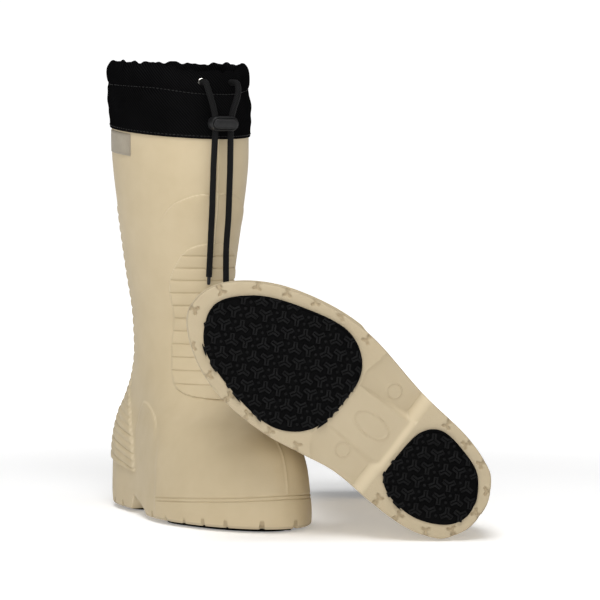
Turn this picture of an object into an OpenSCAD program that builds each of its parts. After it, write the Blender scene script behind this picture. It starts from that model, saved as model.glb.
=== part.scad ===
// Pair of moulded foam boots with drawcord collars.
// The right boot stands, the left one lies on its side, sole to the front, and leans on it.
// Frame of one boot: x from heel to toe, y to the wearer's left, z up from the ground, in mm.
// Frame of the pair: x right, y back, z up, with its origin under the standing forefoot.

/* [Outsole] */
// Length of the outsole
sole_len = 285; // [265:1:305]
// Fullness of the outer edge at the heel
outer_heel = 52; // [47:0.5:57]
// Fullness of the outer edge at the waist
outer_waist = 52; // [47:0.5:57]
// Fullness of the outer edge at the ball
outer_ball = 63.5; // [58:0.5:69]
// Fullness of the outer edge at the toe
outer_toe = 66; // [60:0.5:72]
// Fullness of the inner edge at the heel
inner_heel = 50; // [45:0.5:55]
// Fullness of the inner edge at the waist
inner_waist = 44; // [39:0.5:49]
// Fullness of the inner edge at the ball
inner_ball = 53; // [49:0.5:57]
// Fullness of the inner edge at the toe
inner_toe = 57; // [52:0.5:62]
// Thickness of the foam under the foot
sole_t = 19; // [15:0.5:24]
// Height of the arch in front of the heel
arch_h = 9; // [5:0.5:11]
// Height of the panel in the arch's middle
panel_h = 5.2; // [3:0.1:9]
// Reach of that panel to the outer side
panel_out = 25; // [20:0.5:30]
// Reach of that panel to the inner side
panel_in = 13; // [9:0.5:18]

/* [Foot and leg] */
// Height of the toe box
toe_h = 80; // [74:1:86]
// Height of the ankle, where the shaft is narrowest
ankle_z = 153; // [146:1:165]
// Width over the ankle
ankle_w = 71; // [66:1:78]
// Depth through the ankle, heel to instep
ankle_d = 116; // [108:1:124]
// Height of the shaft's rim, half way from back to front
leg_h = 338; // [315:1:360]
// How much lower the rim is at the front
rim_drop = 16; // [6:1:20]
// Width of the shaft's mouth
mouth_w = 106; // [100:1:116]
// Depth of the shaft's mouth
mouth_d = 150; // [138:1:160]
// Thickness of the foam wall
wall = 8; // [6:0.5:10]

/* [Ribs] */
// Height of one rib on shin and heel
rib_pitch = 10.4; // [9:0.1:13]
// How far a rib's lower edge stands out
rib_depth = 1.3; // [0.5:0.1:1.8]
// Lowest rib on the heel
heel_ribs_z = 44; // [38:1:50]
// Lowest rib on the shin
shin_ribs_z = 104; // [100:1:112]
// Top of the ribs on the shin
shin_ribs_top = 224; // [200:1:235]
// Top of the ribs on the calf
calf_ribs_top = 272; // [240:1:285]

/* [Treads] */
// Thickness of a rubber tread's base
tread_base = 1.2; // [0.8:0.1:2]
// Height of the lugs on it
lug_h = 1.8; // [1:0.1:3]
// Foam edge left round a tread
edge_w = 10.5; // [8:0.5:14]
// Distance from pair to pair of lugs, along the sole
lug_step = 21.8; // [20:0.1:26]
// Distance from row to row of lugs, across the sole
lug_row = 13.2; // [12.4:0.1:16]
// Length of a lug's arm
lug_arm = 5.4; // [4:0.1:5.6]
// Width of a lug's arm
lug_w = 3.4; // [2:0.1:3.6]
// Diameter of the studs between the lugs
stud_d = 2.4; // [1.6:0.1:2.8]
// Front edge of the heel tread, from the heel
heel_tread_x = 84; // [76:1:88]
// Shift of the heel tread to the inner side
heel_tread_y = -2; // [-4:0.5:2]
// Rear edge of the forefoot tread, from the heel
fore_tread_x = 147; // [144:1:156]
// Turn of that edge, back on the outer side, in degrees
fore_skew = 10; // [0:0.5:14]

/* [Collar] */
// Height of the collar above the rim
collar_h = 49; // [44:1:60]
// Lap of the collar over the shaft
collar_lap = 10; // [6:1:16]
// Height of the hem tunnel at its top
hem_h = 20; // [17:0.5:24]
// Thickness of the cloth
cloth_t = 0.9; // [0.7:0.1:1.4]
// How far the drawcord pulls the collar's front down
front_dip = 6; // [0:0.5:9]
// How far the collar leans back at its top
collar_rake = 4.5; // [0:0.5:6]
// Depth of the gathers in the hem
gather = 1; // [0:0.1:1.6]

/* [Drawcord] */
// Diameter of the cord
cord_d = 4.4; // [4:0.1:4.6]
// Diameter of the cord tips
tip_d = 3; // [2.4:0.1:3.8]
// Length of the cord tips
tip_len = 18; // [12:1:24]
// Distance between the eyelets
eyelet_gap = 25.4; // [22:0.2:30]
// Bore of an eyelet
eyelet_bore = 5.2; // [5:0.1:6]
// Width of an eyelet's flange
eyelet_d = 9; // [8.4:0.1:11]

/* [Cord lock] */
// Width of the lock
lock_w = 25.5; // [24.5:0.1:28]
// Height of the lock
lock_h = 12.4; // [11.5:0.1:14]
// Width of its button
button_w = 22.4; // [21:0.1:23]
// Height of its button
button_h = 8.7; // [8:0.1:9.4]
// How far the button can be pressed
button_travel = 2; // [1.2:0.1:2.6]
// Height of the standing boot's lock
lock_z = 333; // [325:1:338]

/* [Lining] */
// Thickness of the felt liner
liner_t = 5; // [3:0.5:7]
// Thickness of the insole
insole_t = 5; // [3:0.5:7]
// How far the liner stops below the rim
liner_drop = 6; // [2:1:20]

/* [Label] */
// Width of the label round the shaft, in degrees
label_arc = 37; // [30:1:60]
// Height of the label
label_h = 19; // [12:1:22]
// Thickness of the label
label_t = 0.8; // [0.5:0.1:1.2]

/* [Pair] */
// Turn of the standing boot's toe to the right
heading = 24.5; // [20:0.1:30]
// Rise of the lying boot's sole, heel to toe
lean = 37.5; // [35:0.5:40]
// Place of the lying heel, right of the standing forefoot
lying_x = 184; // [176:1:230]
// Place of the lying sole, in front of the standing forefoot
lying_y = -142; // [-170:1:-130]

/* [Hidden] */

foam = [0.80, 0.73, 0.60];
rubber = [0.06, 0.06, 0.06];
cloth = [0.08, 0.08, 0.09];
felt = [0.35, 0.34, 0.33];
metal = [0.75, 0.75, 0.74];
patch_grey = [0.55, 0.52, 0.47];

fit_gap = 0.5;              // clearance of what is sewn or glued round a foam face
soft_gap = 1;               // clearance round the soft liner and insole
ground_z = tread_base + lug_h;
floor_z = ground_z + sole_t;
leg_x = 0.295 * sole_len;   // middle of the leg, from the heel
ankle_front = leg_x + ankle_d / 2;
mouth_back = leg_x - 1.5 - mouth_d / 2;
mouth_front = mouth_back + mouth_d;
fore_x = 0.7 * sole_len;    // lug at the pair's origin, from the heel

function mix(a, b, t) = a + (b - a) * t;
function smooth(a, b, x) = let (t = min(1, max(0, (x - a) / (b - a)))) t * t * (3 - 2 * t);
function unit(v) = v / norm(v);

// Smooth curve through the rows of a table, whose first column is the place along it.
function row_of(table, x, i = 0) =
    i >= len(table) - 2 || x < table[i + 1][0] ? i : row_of(table, x, i + 1);
function slope_at(table, col, i) =
    let (a = table[max(0, i - 1)], b = table[min(len(table) - 1, i + 1)])
    (b[col] - a[col]) / (b[0] - a[0]);
function along(table, col, x) =
    let (i = row_of(table, x), p = table[i], q = table[i + 1], d = q[0] - p[0],
         t = min(1, max(0, (x - p[0]) / d)), u = 1 - t)
    p[col] * (1 + 2 * t) * u * u + slope_at(table, col, i) * d * t * u * u
    + q[col] * (3 - 2 * t) * t * t - slope_at(table, col, i + 1) * d * t * t * u;

// Sections of the boot, from the ground up: height, back, front, share of the outsole's width,
// half-width of the leg's oval, share of that oval in the section.
function toe_x(t) = mix(ankle_front, sole_len, t);
function leg_z(t) = mix(ankle_z, leg_h, t);
function leg_half(t) = mix(ankle_w, mouth_w, t) / 2;
ankle_back = leg_x - ankle_d / 2;
function leg_back(t) = mix(ankle_back, mouth_back, t);
function leg_front(t) = mix(ankle_front, mouth_front, t);
profile = [
    [ground_z,         1.5,              toe_x(0.996), 1.00, leg_half(0.10), 0],
    [15,               0,                toe_x(1.000), 1.00, leg_half(0.10), 0],
    [30,               -1,               toe_x(0.989), 0.98, leg_half(0.10), 0],
    [0.62 * toe_h,     -1,               toe_x(0.963), 0.95, leg_half(0.10), 0],
    [0.82 * toe_h,     0,                toe_x(0.905), 0.91, leg_half(0.10), 0.06],
    [toe_h,            3,                toe_x(0.766), 0.86, leg_half(0.10), 0.20],
    [toe_h + 10,       7,                toe_x(0.582), 0.80, leg_half(0.12), 0.42],
    [toe_h + 22,       12.5,             toe_x(0.385), 0.75, leg_half(0.12), 0.65],
    [toe_h + 37,       20,               toe_x(0.209), 0.72, leg_half(0.10), 0.87],
    [toe_h + 54,       ankle_back - 1,   toe_x(0.084), 0.70, leg_half(0.03), 1],
    [ankle_z,          ankle_back,       ankle_front,  0.70, leg_half(0.00), 1],
    [leg_z(0.12),      leg_back(0.08),   leg_front(0.08), 0.70, leg_half(0.08), 1],
    [leg_z(0.30),      leg_back(0.355),  leg_front(0.30), 0.70, leg_half(0.355), 1],
    [leg_z(0.55),      leg_back(0.69),   leg_front(0.66), 0.70, leg_half(0.69), 1],
    [leg_z(0.80),      leg_back(0.97),   leg_front(0.97), 0.70, leg_half(0.97), 1],
    [leg_h,            mouth_back,       mouth_front,  0.70, leg_half(1.00), 1]];
outer_edge = [[0, 0.95 * outer_heel], [0.15, outer_heel], [0.32, outer_waist],
              [0.58, outer_ball], [0.8, outer_toe], [1, outer_toe]];
inner_edge = [[0, 0.97 * inner_heel], [0.13, inner_heel], [0.35, inner_waist],
              [0.62, inner_ball], [0.8, inner_toe], [1, 0.95 * inner_toe]];

// Arch: a steep breast in front of the heel, then a long slope down to the forefoot.
tread_margin = 2;           // foam between a tread and the arch
fore_tread_back = fore_tread_x - panel_out * tan(fore_skew);
breast = (heel_tread_x + tread_margin) / sole_len;
breast_slope = 1.2;         // run of the breast over its height
breast_end = breast + breast_slope * arch_h / sole_len;
arch_top = 36;              // the sides are flat again at this height
arch_end = (fore_tread_back - tread_margin) / sole_len;
function lift(c) = c < breast ? 0 : c < breast_end ? arch_h * (c - breast) / (breast_end - breast)
    : arch_h * pow(max(0, (arch_end - c) / (arch_end - breast_end)), 0.8);

// Places round a section, heel to toe, close together where it curves most.
heel_steps = 6;
fore_steps = 12;
shares = concat([for (i = [0:heel_steps]) breast * (1 - cos(90 * i / heel_steps))],
                [for (i = [0:fore_steps]) mix(breast_end, 1, sin(90 * i / fore_steps))]);
few_shares = [for (i = [0:2:len(shares) - 1]) i + 2 > len(shares) - 1 ? 1 : shares[i]];

tilt_rise = 20;             // the shaft begins to slope this far above the ankle
function tilt(h) = rim_drop * smooth(ankle_z + tilt_rise, leg_h, h);
function swell(c) = 2 * sqrt(max(0, c * (1 - c)));
heel_round = 0.68;          // 1 is an oval, less is squarer
heel_flank = 0.5;
function heel_bulge(c) = mix(heel_round, heel_flank, smooth(0, 0.055, c));
function bulge(side, c, oval) =
    mix(mix(heel_bulge(c), side < 0 ? 1 : 0.75, smooth(0.25, 0.75, c)), 1, oval);
function steep(h) = min(3, norm([1, (along(profile, 2, h + 1) - along(profile, 2, h - 1)) / 2]));

// One point of the boot's skin: height, share of the way to the toe, side (-1 outer, 1 inner).
function skin(h, c, side, inset = 0, arch = 0) =
    let (oval = along(profile, 5, h),
         half = mix(along(side < 0 ? outer_edge : inner_edge, 1, c) * along(profile, 3, h),
                    along(profile, 4, h), oval) - inset)
    [mix(along(profile, 1, h) + inset, along(profile, 2, h) - inset * steep(h), c),
     side * half * pow(swell(c), bulge(side, c, oval)),
     h + tilt(h) * (0.5 - c) + arch * lift(c) * (1 - smooth(ground_z, arch_top, h))];
function around(h, places, inset = 0) = let (m = len(places) - 1) concat(
    [for (i = [0:m]) skin(h, places[i], -1, inset)],
    [for (i = [m - 1:-1:1]) skin(h, places[i], 1, inset)]);

// Ribs: the lower edge of each stands out, on the shin and round the back of calf and heel.
function rib_field(h, c) = max(
    smooth(0.79, 0.87, c) * (h > shin_ribs_z && h < shin_ribs_top ? 1 : 0),
    (1 - smooth(0.20, 0.28, c)) * (h < calf_ribs_top ? 1 : 0));
function rand_step(c) = 0.8 * smooth(0.42, 0.5, c);
function outer_ring(level) = let (m = len(shares) - 1, h = level[0])
    [for (k = [0:2 * m - 1]) let (i = k <= m ? k : 2 * m - k, c = shares[i], s = k < m ? -1 : 1)
        skin(h, c, s, -level[1] * rib_depth * rib_field(h, c) - level[2] * rand_step(c), 1)];

// Levels of the rings: height, share of the rib's step, share of the toe rand's step.
rib_count = floor((calf_ribs_top - heel_ribs_z) / rib_pitch);
rand_z = 28.5;
outer_levels = concat(
    [for (h = [ground_z, 13, rand_z - 4.5, rand_z]) [h, 0, 1]],
    [[rand_z + 0.6, 0, 0], [mix(rand_z, heel_ribs_z, 0.5), 0, 0]],
    [for (k = [0:rib_count], step = [0, 1])
        [heel_ribs_z + k * rib_pitch + (step - 0.5) * 0.5, step * (k < rib_count ? 1 : 0), 0]],
    [for (t = [0.35, 0.7, 1]) [mix(heel_ribs_z + rib_count * rib_pitch, leg_h, t), 0, 0]]);
inner_levels = [floor_z, 36, 0.62 * toe_h, 0.85 * toe_h, toe_h, toe_h + 10, toe_h + 22, toe_h + 37,
                toe_h + 54, ankle_z, leg_z(0.15), leg_z(0.45)];

// Solid between a stack of rings, with its two end rings closed by strips across the boot.
function ring_faces(n, rings) = [for (k = [0:rings - 2], i = [0:n - 1], t = [0, 1])
    let (j = (i + 1) % n) t == 0 ? [k * n + i, (k + 1) * n + i, (k + 1) * n + j]
                                 : [k * n + i, (k + 1) * n + j, k * n + j]];
function strip_faces(n, base, up) = let (m = n / 2)
    [for (i = [0:m - 1], t = [0, 1])
        let (a = base + i, b = base + i + 1, c = base + (n - i - 1) % n, d = base + (n - i) % n,
             f = t == 0 ? [a, b, c] : [a, c, d])
        if (f[0] != f[2] && f[1] != f[2]) up ? [f[2], f[1], f[0]] : f];
module stack(rings) {
    n = len(rings[0]);
    polyhedron(points = [for (r = rings) each r],
               faces = concat(strip_faces(n, 0, false), ring_faces(n, len(rings)),
                              strip_faces(n, (len(rings) - 1) * n, true)), convexity = 8);
}

// Underside of the foam: the arch's middle panel stands between two deeper ones, with sloped edges.
panel_slope = 1.2;          // run of a panel's edge over its height
panel_edge = 1.5;           // least run of that edge
function lowest(c, side) = skin(ground_z, c, side, 0, 1);
function underside(c) =
    let (outer = lowest(c, -1), inner = lowest(c, 1), deep = lift(c), flat = deep * panel_h / arch_h,
         run = panel_edge + panel_slope * (deep - flat))
    [[outer[0], max(0.8 * outer[1], -panel_out - run), ground_z + deep],
     [outer[0], max(0.6 * outer[1], -panel_out), ground_z + flat],
     [outer[0], min(0.6 * inner[1], panel_in), ground_z + flat],
     [outer[0], min(0.8 * inner[1], panel_in + run), ground_z + deep]];
// Point of the underside: station from heel to toe, column from outer to inner edge.
function under_index(i, k, n, base) =
    i == 0 || i == n / 2 || k == 0 ? i : k == 5 ? n - i : base + (i - 1) * 4 + k - 1;
function underside_faces(n, base) = [for (i = [0:n / 2 - 1], k = [0:4], t = [0, 1])
    let (a = under_index(i, k, n, base), b = under_index(i + 1, k, n, base),
         c = under_index(i + 1, k + 1, n, base), d = under_index(i, k + 1, n, base),
         f = t == 0 ? [a, b, c] : [a, c, d])
    if (f[0] != f[1] && f[1] != f[2] && f[0] != f[2]) f];

// Tube swept along the points of a route.
function heading_of(path, i) = unit(path[min(len(path) - 1, i + 1)] - path[max(0, i - 1)]);
function tube_ring(path, i, r, sides, up, first, last) =
    let (t = i == 0 && first != [] ? first : i == len(path) - 1 && last != [] ? last
                                                                               : heading_of(path, i),
         u = unit(cross(up, t)), v = cross(t, u))
    [for (k = [0:sides - 1]) path[i] + r * (cos(360 * k / sides) * u + sin(360 * k / sides) * v)];
module tube(path, r, sides, up, first = [], last = []) {
    n = len(path);
    polyhedron(points = [for (i = [0:n - 1]) each tube_ring(path, i, r, sides, up, first, last)],
               faces = concat([[for (k = [0:sides - 1]) k]], ring_faces(sides, n),
                              [[for (k = [sides - 1:-1:0]) (n - 1) * sides + k]]), convexity = 8);
}

// Foam body: skin up to the rim, over it and down the inside to the floor.
module body() {
    top = concat(inner_levels, [leg_h]);
    rings = concat([for (level = outer_levels) outer_ring(level)],
                   [for (k = [len(top) - 1:-1:0]) around(top[k], shares, wall)]);
    n = len(rings[0]);
    count = n * len(rings);
    color(foam) polyhedron(
        points = concat([for (r = rings) each r],
                        [for (i = [1:len(shares) - 2]) each underside(shares[i])]),
        faces = concat(underside_faces(n, count), ring_faces(n, len(rings)),
                       strip_faces(n, count - n, true)), convexity = 8);
}

// Treads: the outsole's outline less the foam edge, cut across at the arch and rounded.
fore_round = 26;
heel_corner = 13;
module tread_outline(fore) {
    r = fore ? fore_round : heel_corner;
    translate([0, fore ? 0 : heel_tread_y]) offset(r = r, $fn = 48) offset(delta = -r - edge_w)
        intersection() {
            polygon([for (p = around(ground_z, shares)) [p[0], p[1]]]);
            translate([fore ? fore_tread_x - edge_w : heel_tread_x + edge_w, 0])
                rotate(fore ? -fore_skew : 180) translate([0, -sole_len]) square(2 * sole_len);
        }
}
module lug() {
    inner = lug_w / sqrt(3);
    polygon([for (a = [0, 120, 240]) each [
        for (s = [-1, 1]) lug_arm * [cos(a), sin(a)] + s * lug_w / 2 * [-sin(a), cos(a)],
        inner * [cos(a + 60), sin(a + 60)]]]);
}
// Lugs stand in pairs, turned to each other, with two studs behind each pair.
lug_mate = [-8.4, 7];
stud_places = [[-15.8, 0.8], [-15.8, 7.2]];
row_shear = -1.3;           // shift across the sole from pair to pair
lug_steps = ceil(sole_len / lug_step);
lug_rows = ceil(2 * outer_toe / lug_row);
module lugs() {
    for (i = [-lug_steps:lug_steps], j = [-lug_rows:lug_rows])
        translate([fore_x + i * lug_step, j * lug_row + i * row_shear]) {
            rotate(60) lug();
            translate(lug_mate) lug();
            for (p = stud_places) translate(p) circle(d = stud_d, $fn = 12);
        }
}
module tread(fore) {
    color(rubber) {
        translate([0, 0, lug_h]) linear_extrude(tread_base) tread_outline(fore);
        linear_extrude(lug_h) intersection() {
            tread_outline(fore);
            lugs();
        }
    }
}

// Lining: a felt inner boot, and the insole on its floor.
liner_levels = [for (k = [1:len(inner_levels) - 1]) inner_levels[k]];
module liner() {
    base = floor_z + 0.2;
    top = leg_h - liner_drop;
    color(felt) stack(concat(
        [flat_ring(floor_z, base, wall + soft_gap)],
        [for (h = concat(liner_levels, [top])) around(h, few_shares, wall + soft_gap)],
        [for (k = [len(liner_levels):-1:0])
            around(concat(liner_levels, [top])[k], few_shares, wall + soft_gap + liner_t)],
        [flat_ring(floor_z, base + liner_t, wall + soft_gap + liner_t)]));
}
function flat_ring(h, z, inset) = [for (p = around(h, few_shares, inset)) [p[0], p[1], z]];
module insole() {
    base = floor_z + liner_t + 0.4;
    edge = wall + liner_t + 3 * soft_gap;
    color(cloth) stack([flat_ring(floor_z, base, edge), flat_ring(floor_z, base + insole_t, edge)]);
}

// Collar: one sleeve of cloth, folded inward at its top into the hem tunnel.
// Its section: height over the rim, distance out from the rim.
stitch_z = collar_h - hem_h;
hem_low = stitch_z + 0.2 * hem_h;
hem_top = collar_h - 0.25 * hem_h;
hem_out = 1.3;                      // outer face of the hem
hem_in = hem_out - cloth_t;         // outer wall of the tunnel
tunnel_w = cord_d + 2.6;
flap_out = hem_in - tunnel_w;       // inner wall of the tunnel
crest_out = hem_in - tunnel_w / 2;  // top of the fold
collar_section = [
    [-collar_lap, fit_gap + cloth_t], [0.35 * stitch_z, hem_out + 0.3], [0.8 * stitch_z, hem_out + 0.5],
    [stitch_z, fit_gap + cloth_t - 0.8], [hem_low, hem_out], [hem_top, hem_out], [collar_h, crest_out + 0.8],
    [collar_h - 0.2, crest_out - 1.4], [hem_top - 1, flap_out - cloth_t], [hem_low, flap_out - cloth_t],
    [stitch_z, fit_gap - 2.4], [stitch_z, fit_gap - 1.3], [hem_low + 0.5, flap_out],
    [hem_top - 1.4, flap_out], [collar_h - cloth_t, crest_out - 0.6], [hem_top - 0.4, hem_in],
    [hem_low, hem_in], [stitch_z, fit_gap - 0.8], [0.8 * stitch_z, hem_in + 0.5],
    [0.35 * stitch_z, hem_in + 0.3], [-collar_lap, fit_gap]];
folds = 11;
function pleat(a, z) = gather * sin(folds * a + 40) * smooth(20, 42, abs(a > 180 ? a - 360 : a))
    * smooth(0.5 * stitch_z, stitch_z + 4, z);
function sleeve(a, z, out) =
    let (rx = mouth_d / 2 + out + pleat(a, z), ry = mouth_w / 2 + out + pleat(a, z),
         up = smooth(0, collar_h, z), front = 1 - smooth(10, 60, abs(a > 180 ? a - 360 : a)))
    [mouth_back + mouth_d / 2 + rx * cos(a) - collar_rake * up, ry * sin(a),
     leg_h - rim_drop * cos(a) * (0.5 - 0.28 * up) + z - front_dip * up * front
     + 0.8 * pleat(a, z) * smooth(stitch_z, collar_h, z)];
function loop_faces(n, rings) = [for (k = [0:rings - 1], i = [0:n - 1], t = [0, 1])
    let (l = (k + 1) % rings, j = (i + 1) % n)
    t == 0 ? [k * n + i, l * n + j, l * n + i] : [k * n + i, k * n + j, l * n + j]];
collar_steps = 44;
module collar() {
    n = len(collar_section);
    color(cloth) difference() {
        polyhedron(points = [for (k = [0:collar_steps - 1], s = collar_section)
                                 sleeve(360 * k / collar_steps, s[0], s[1])],
                   faces = loop_faces(n, collar_steps), convexity = 10);
        for (s = [-1, 1]) at_eyelet(s)
            translate([0, 0, -cloth_t - 0.8]) cylinder(d = eyelet_bore + 1.4, h = cloth_t + 4, $fn = 32);
    }
}

// Eyelets: bore, a flange on the cloth and a rolled rim inside the tunnel.
eyelet_z = collar_h - hem_h / 2;
eyelet_a = asin(eyelet_gap / 2 / (mouth_w / 2 + hem_out));
function eyelet_at(s) = sleeve(s * eyelet_a, eyelet_z, hem_out);
function eyelet_dir(s) = unit(cross(
    sleeve(s * eyelet_a + 1, eyelet_z, hem_out) - sleeve(s * eyelet_a - 1, eyelet_z, hem_out),
    sleeve(s * eyelet_a, eyelet_z + 1, hem_out) - sleeve(s * eyelet_a, eyelet_z - 1, hem_out)));
module facing(d) {
    rotate([0, acos(d[2]), atan2(d[1], d[0])]) children();
}
module at_eyelet(s) {
    translate(eyelet_at(s)) facing(eyelet_dir(s)) children();
}
module eyelets() {
    bore = eyelet_bore / 2;
    back = -cloth_t - fit_gap;
    color(metal) for (s = [-1, 1]) at_eyelet(s) rotate_extrude($fn = 40)
        polygon([[bore, back - 0.5], [eyelet_d / 2 - 0.4, back - 0.5], [eyelet_d / 2 - 0.4, back],
                 [bore + 0.5, back], [bore + 0.5, 0.2], [eyelet_d / 2, 0.2], [eyelet_d / 2 - 0.3, 0.8],
                 [bore + 0.5, 1.2], [bore, 0.9]]);
}

// Drawcord: its stretch in the hem tunnel turns out into both eyelets and meets the free ends there.
cord_out = crest_out;
turn_r = 0.6 * cord_d;
function eyelet_side(s) = unit(cross([0, 0, s], eyelet_dir(s)));
function hem_turn(s, a) = eyelet_at(s) + (cord_out - hem_out + turn_r * (1 - cos(a))) * eyelet_dir(s)
    + turn_r * (1 - sin(a)) * eyelet_side(s);
function hem_end(s) = hem_turn(s, 90);
hem_steps = 26;
hem_path = concat(
    [for (a = [90, 60, 30, 0]) hem_turn(1, a)],
    [for (k = [0:hem_steps])
        sleeve(mix(eyelet_a + 11, 360 - eyelet_a - 11, k / hem_steps), eyelet_z, cord_out)],
    [for (a = [0, 30, 60, 90]) hem_turn(-1, a)]);
module hem_cord() {
    color(cloth) tube(hem_path, cord_d / 2, 8, [0, 0, 1], -eyelet_dir(1), eyelet_dir(-1));
}

// Routes of the standing boot's free ends, in its own frame, from the eyelet's face down.
right_inner_route = [[162.5, 14.4, 367.4], [165.4, 14.6, 364.6], [167.4, 13.8, 360],
    [168.2, 12.2, 354], [167.8, 9.8, 347], [167.3, 8, 340], [166.8, 7.2, 333], [166.3, 7.2, 326],
    [165.7, 7.4, 318], [165, 7.6, 308], [164.2, 7.8, 297], [163.4, 7.8, 286], [162.5, 7.8, 275],
    [161.7, 7.8, 264], [160.9, 7.6, 252], [160, 7, 240], [159.1, 6.6, 228], [158.2, 6.8, 216],
    [157.4, 7.2, 205]];
right_outer_route = [[162.5, -14.4, 367.4], [165.4, -14.6, 364.6], [167.4, -13.8, 360],
    [168.2, -12.2, 354], [167.8, -9.8, 347], [167.3, -8, 340], [166.8, -7.2, 333], [166.3, -7.2, 326],
    [165.7, -7.4, 318], [165, -7.6, 308], [164.2, -7.8, 297], [163.4, -7.8, 286], [162.5, -7.8, 275],
    [161.7, -7.8, 264], [160.9, -8, 252], [160, -8.2, 240], [159.1, -8.4, 228], [158.2, -8.6, 216]];
// Routes of the lying boot's free ends, from its heel on the ground: over the collar and down.
left_inner_route = [[-136, 367.5, 100.6], [-140.6, 366.5, 100.2], [-143.5, 365, 96], [-144, 363.5, 90],
    [-144, 362.3, 83], [-144, 362, 75], [-144, 362, 66], [-144, 362, 56], [-144, 362, 46],
    [-144, 362, 36], [-144, 362, 26], [-144.6, 362, 17], [-147, 362, 9.5], [-152.5, 362, 4.2],
    [-160, 362, 2.4], [-169, 362.4, 2.4], [-179, 363.4, 2.4], [-189, 365, 2.4], [-199, 367.2, 2.4],
    [-208, 369.6, 2.4]];
left_outer_route = [[-118.6, 368.3, 122.8], [-122, 369, 125.2], [-126.5, 370.3, 125.6],
    [-131.5, 372, 122.5], [-136, 373.7, 116.5], [-139.8, 375, 108.5], [-142.6, 375.8, 99.5],
    [-144, 376, 90], [-144, 376, 81], [-144, 376, 71], [-144, 376, 61], [-144, 376, 51],
    [-144, 376, 41], [-144, 376, 31], [-144, 376, 22], [-145.2, 376, 14], [-148.6, 376, 7.4],
    [-154.6, 376, 3.4], [-162, 376, 2.4], [-171, 376.6, 2.4], [-181, 378.2, 2.4]];
module free_cord(start, route, up, dir) {
    color(cloth) tube(concat([start, start + 4 * dir], route), cord_d / 2, 8, up, dir);
}
module cord_tip(route) {
    end = route[len(route) - 1];
    d = unit(end - route[len(route) - 2]);
    color(rubber) translate(end) facing(d) {
        cylinder(d = tip_d, h = tip_len, $fn = 24);
        translate([0, 0, tip_len]) cylinder(d1 = tip_d, d2 = tip_d - 1, h = 0.8, $fn = 24);
    }
}

// Cord lock, x out of the front, y across, z along the cords: cup, button and spring.
lock_wall = 1;
clamp_t = 1;
slide_gap = 0.15;
bar_x = lock_wall + 0.2 + button_travel;                  // clamping bar, behind the cords
cord_x = bar_x + clamp_t + slide_gap + cord_d / 2;        // middle of the cords
plate_x = cord_x + cord_d / 2 + slide_gap + button_travel; // back of the button's face
plate_t = 1.4;
lock_t = plate_x + 0.2;
boss_d = 6.4;
spring_d = 3.6;
spring_wire = 0.6;
spring_end = plate_x - 1.2;
cord_lean = 4.2;                                          // hang of the standing boot's cords
cord_reach = 20.8;                                        // slot across both cords
clamp_w = cord_reach - 2;
clamp_h = button_h - 2.8;
module stadium(w, h) {
    polygon([for (s = [0, 1], k = [0:10]) let (a = 180 * s - 90 + 18 * k)
        [(1 - 2 * s) * (w - h) / 2 + h / 2 * cos(a), h / 2 * sin(a)]]);
}
module upright(depth) {
    rotate([90, 0, 90]) linear_extrude(depth) children();
}
module lock_body() {
    color(rubber) difference() {
        upright(lock_t) stadium(lock_w, lock_h);
        translate([lock_wall, 0, 0]) upright(lock_t) stadium(button_w + 0.6, button_h + 0.6);
        translate([cord_x - cord_d / 2 - 0.25, -cord_reach / 2, -lock_h])
            cube([cord_d + 0.5, cord_reach, 2 * lock_h]);
    }
}
module lock_button() {
    color(rubber) difference() {
        union() {
            translate([plate_x, 0, 0]) upright(plate_t) stadium(button_w, button_h);
            translate([bar_x, 0, 0]) upright(plate_x - bar_x + 0.1) circle(d = boss_d, $fn = 32);
            translate([bar_x, -clamp_w / 2, -clamp_h / 2]) cube([clamp_t, clamp_w, clamp_h]);
        }
        translate([bar_x - 1, 0, 0]) upright(spring_end - bar_x + 1.1)
            circle(d = spring_d + spring_wire + 0.6, $fn = 32);
    }
}
spring_curls = 3;
spring_path = [for (k = [0:8 * spring_curls]) let (t = k / 8 / spring_curls, a = 360 * spring_curls * t)
    [mix(lock_wall + spring_wire / 2 + 0.1, spring_end - spring_wire / 2, t),
     spring_d / 2 * cos(a), spring_d / 2 * sin(a)]];
spring_gap = min([for (i = [0:len(spring_path) - 6], j = [i + 5:len(spring_path) - 1])
    norm(spring_path[i] - spring_path[j]) - spring_wire]);
echo(spring_gap = spring_gap);
module lock_spring() {
    color(metal) tube(spring_path, spring_wire / 2, 6, [1, 0, 0]);
}
right_cords_at = [166.8, 0, 333];
left_cords_at = [-144, 369, 56];
module on_right_cords() {
    translate(right_cords_at) rotate([0, cord_lean, 0])
        translate([-cord_x, 0, lock_z - right_cords_at[2]]) children();
}
module on_left_cords() {
    translate(left_cords_at + [cord_x, 0, 0]) rotate([0, 0, 180]) children();
}

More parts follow.
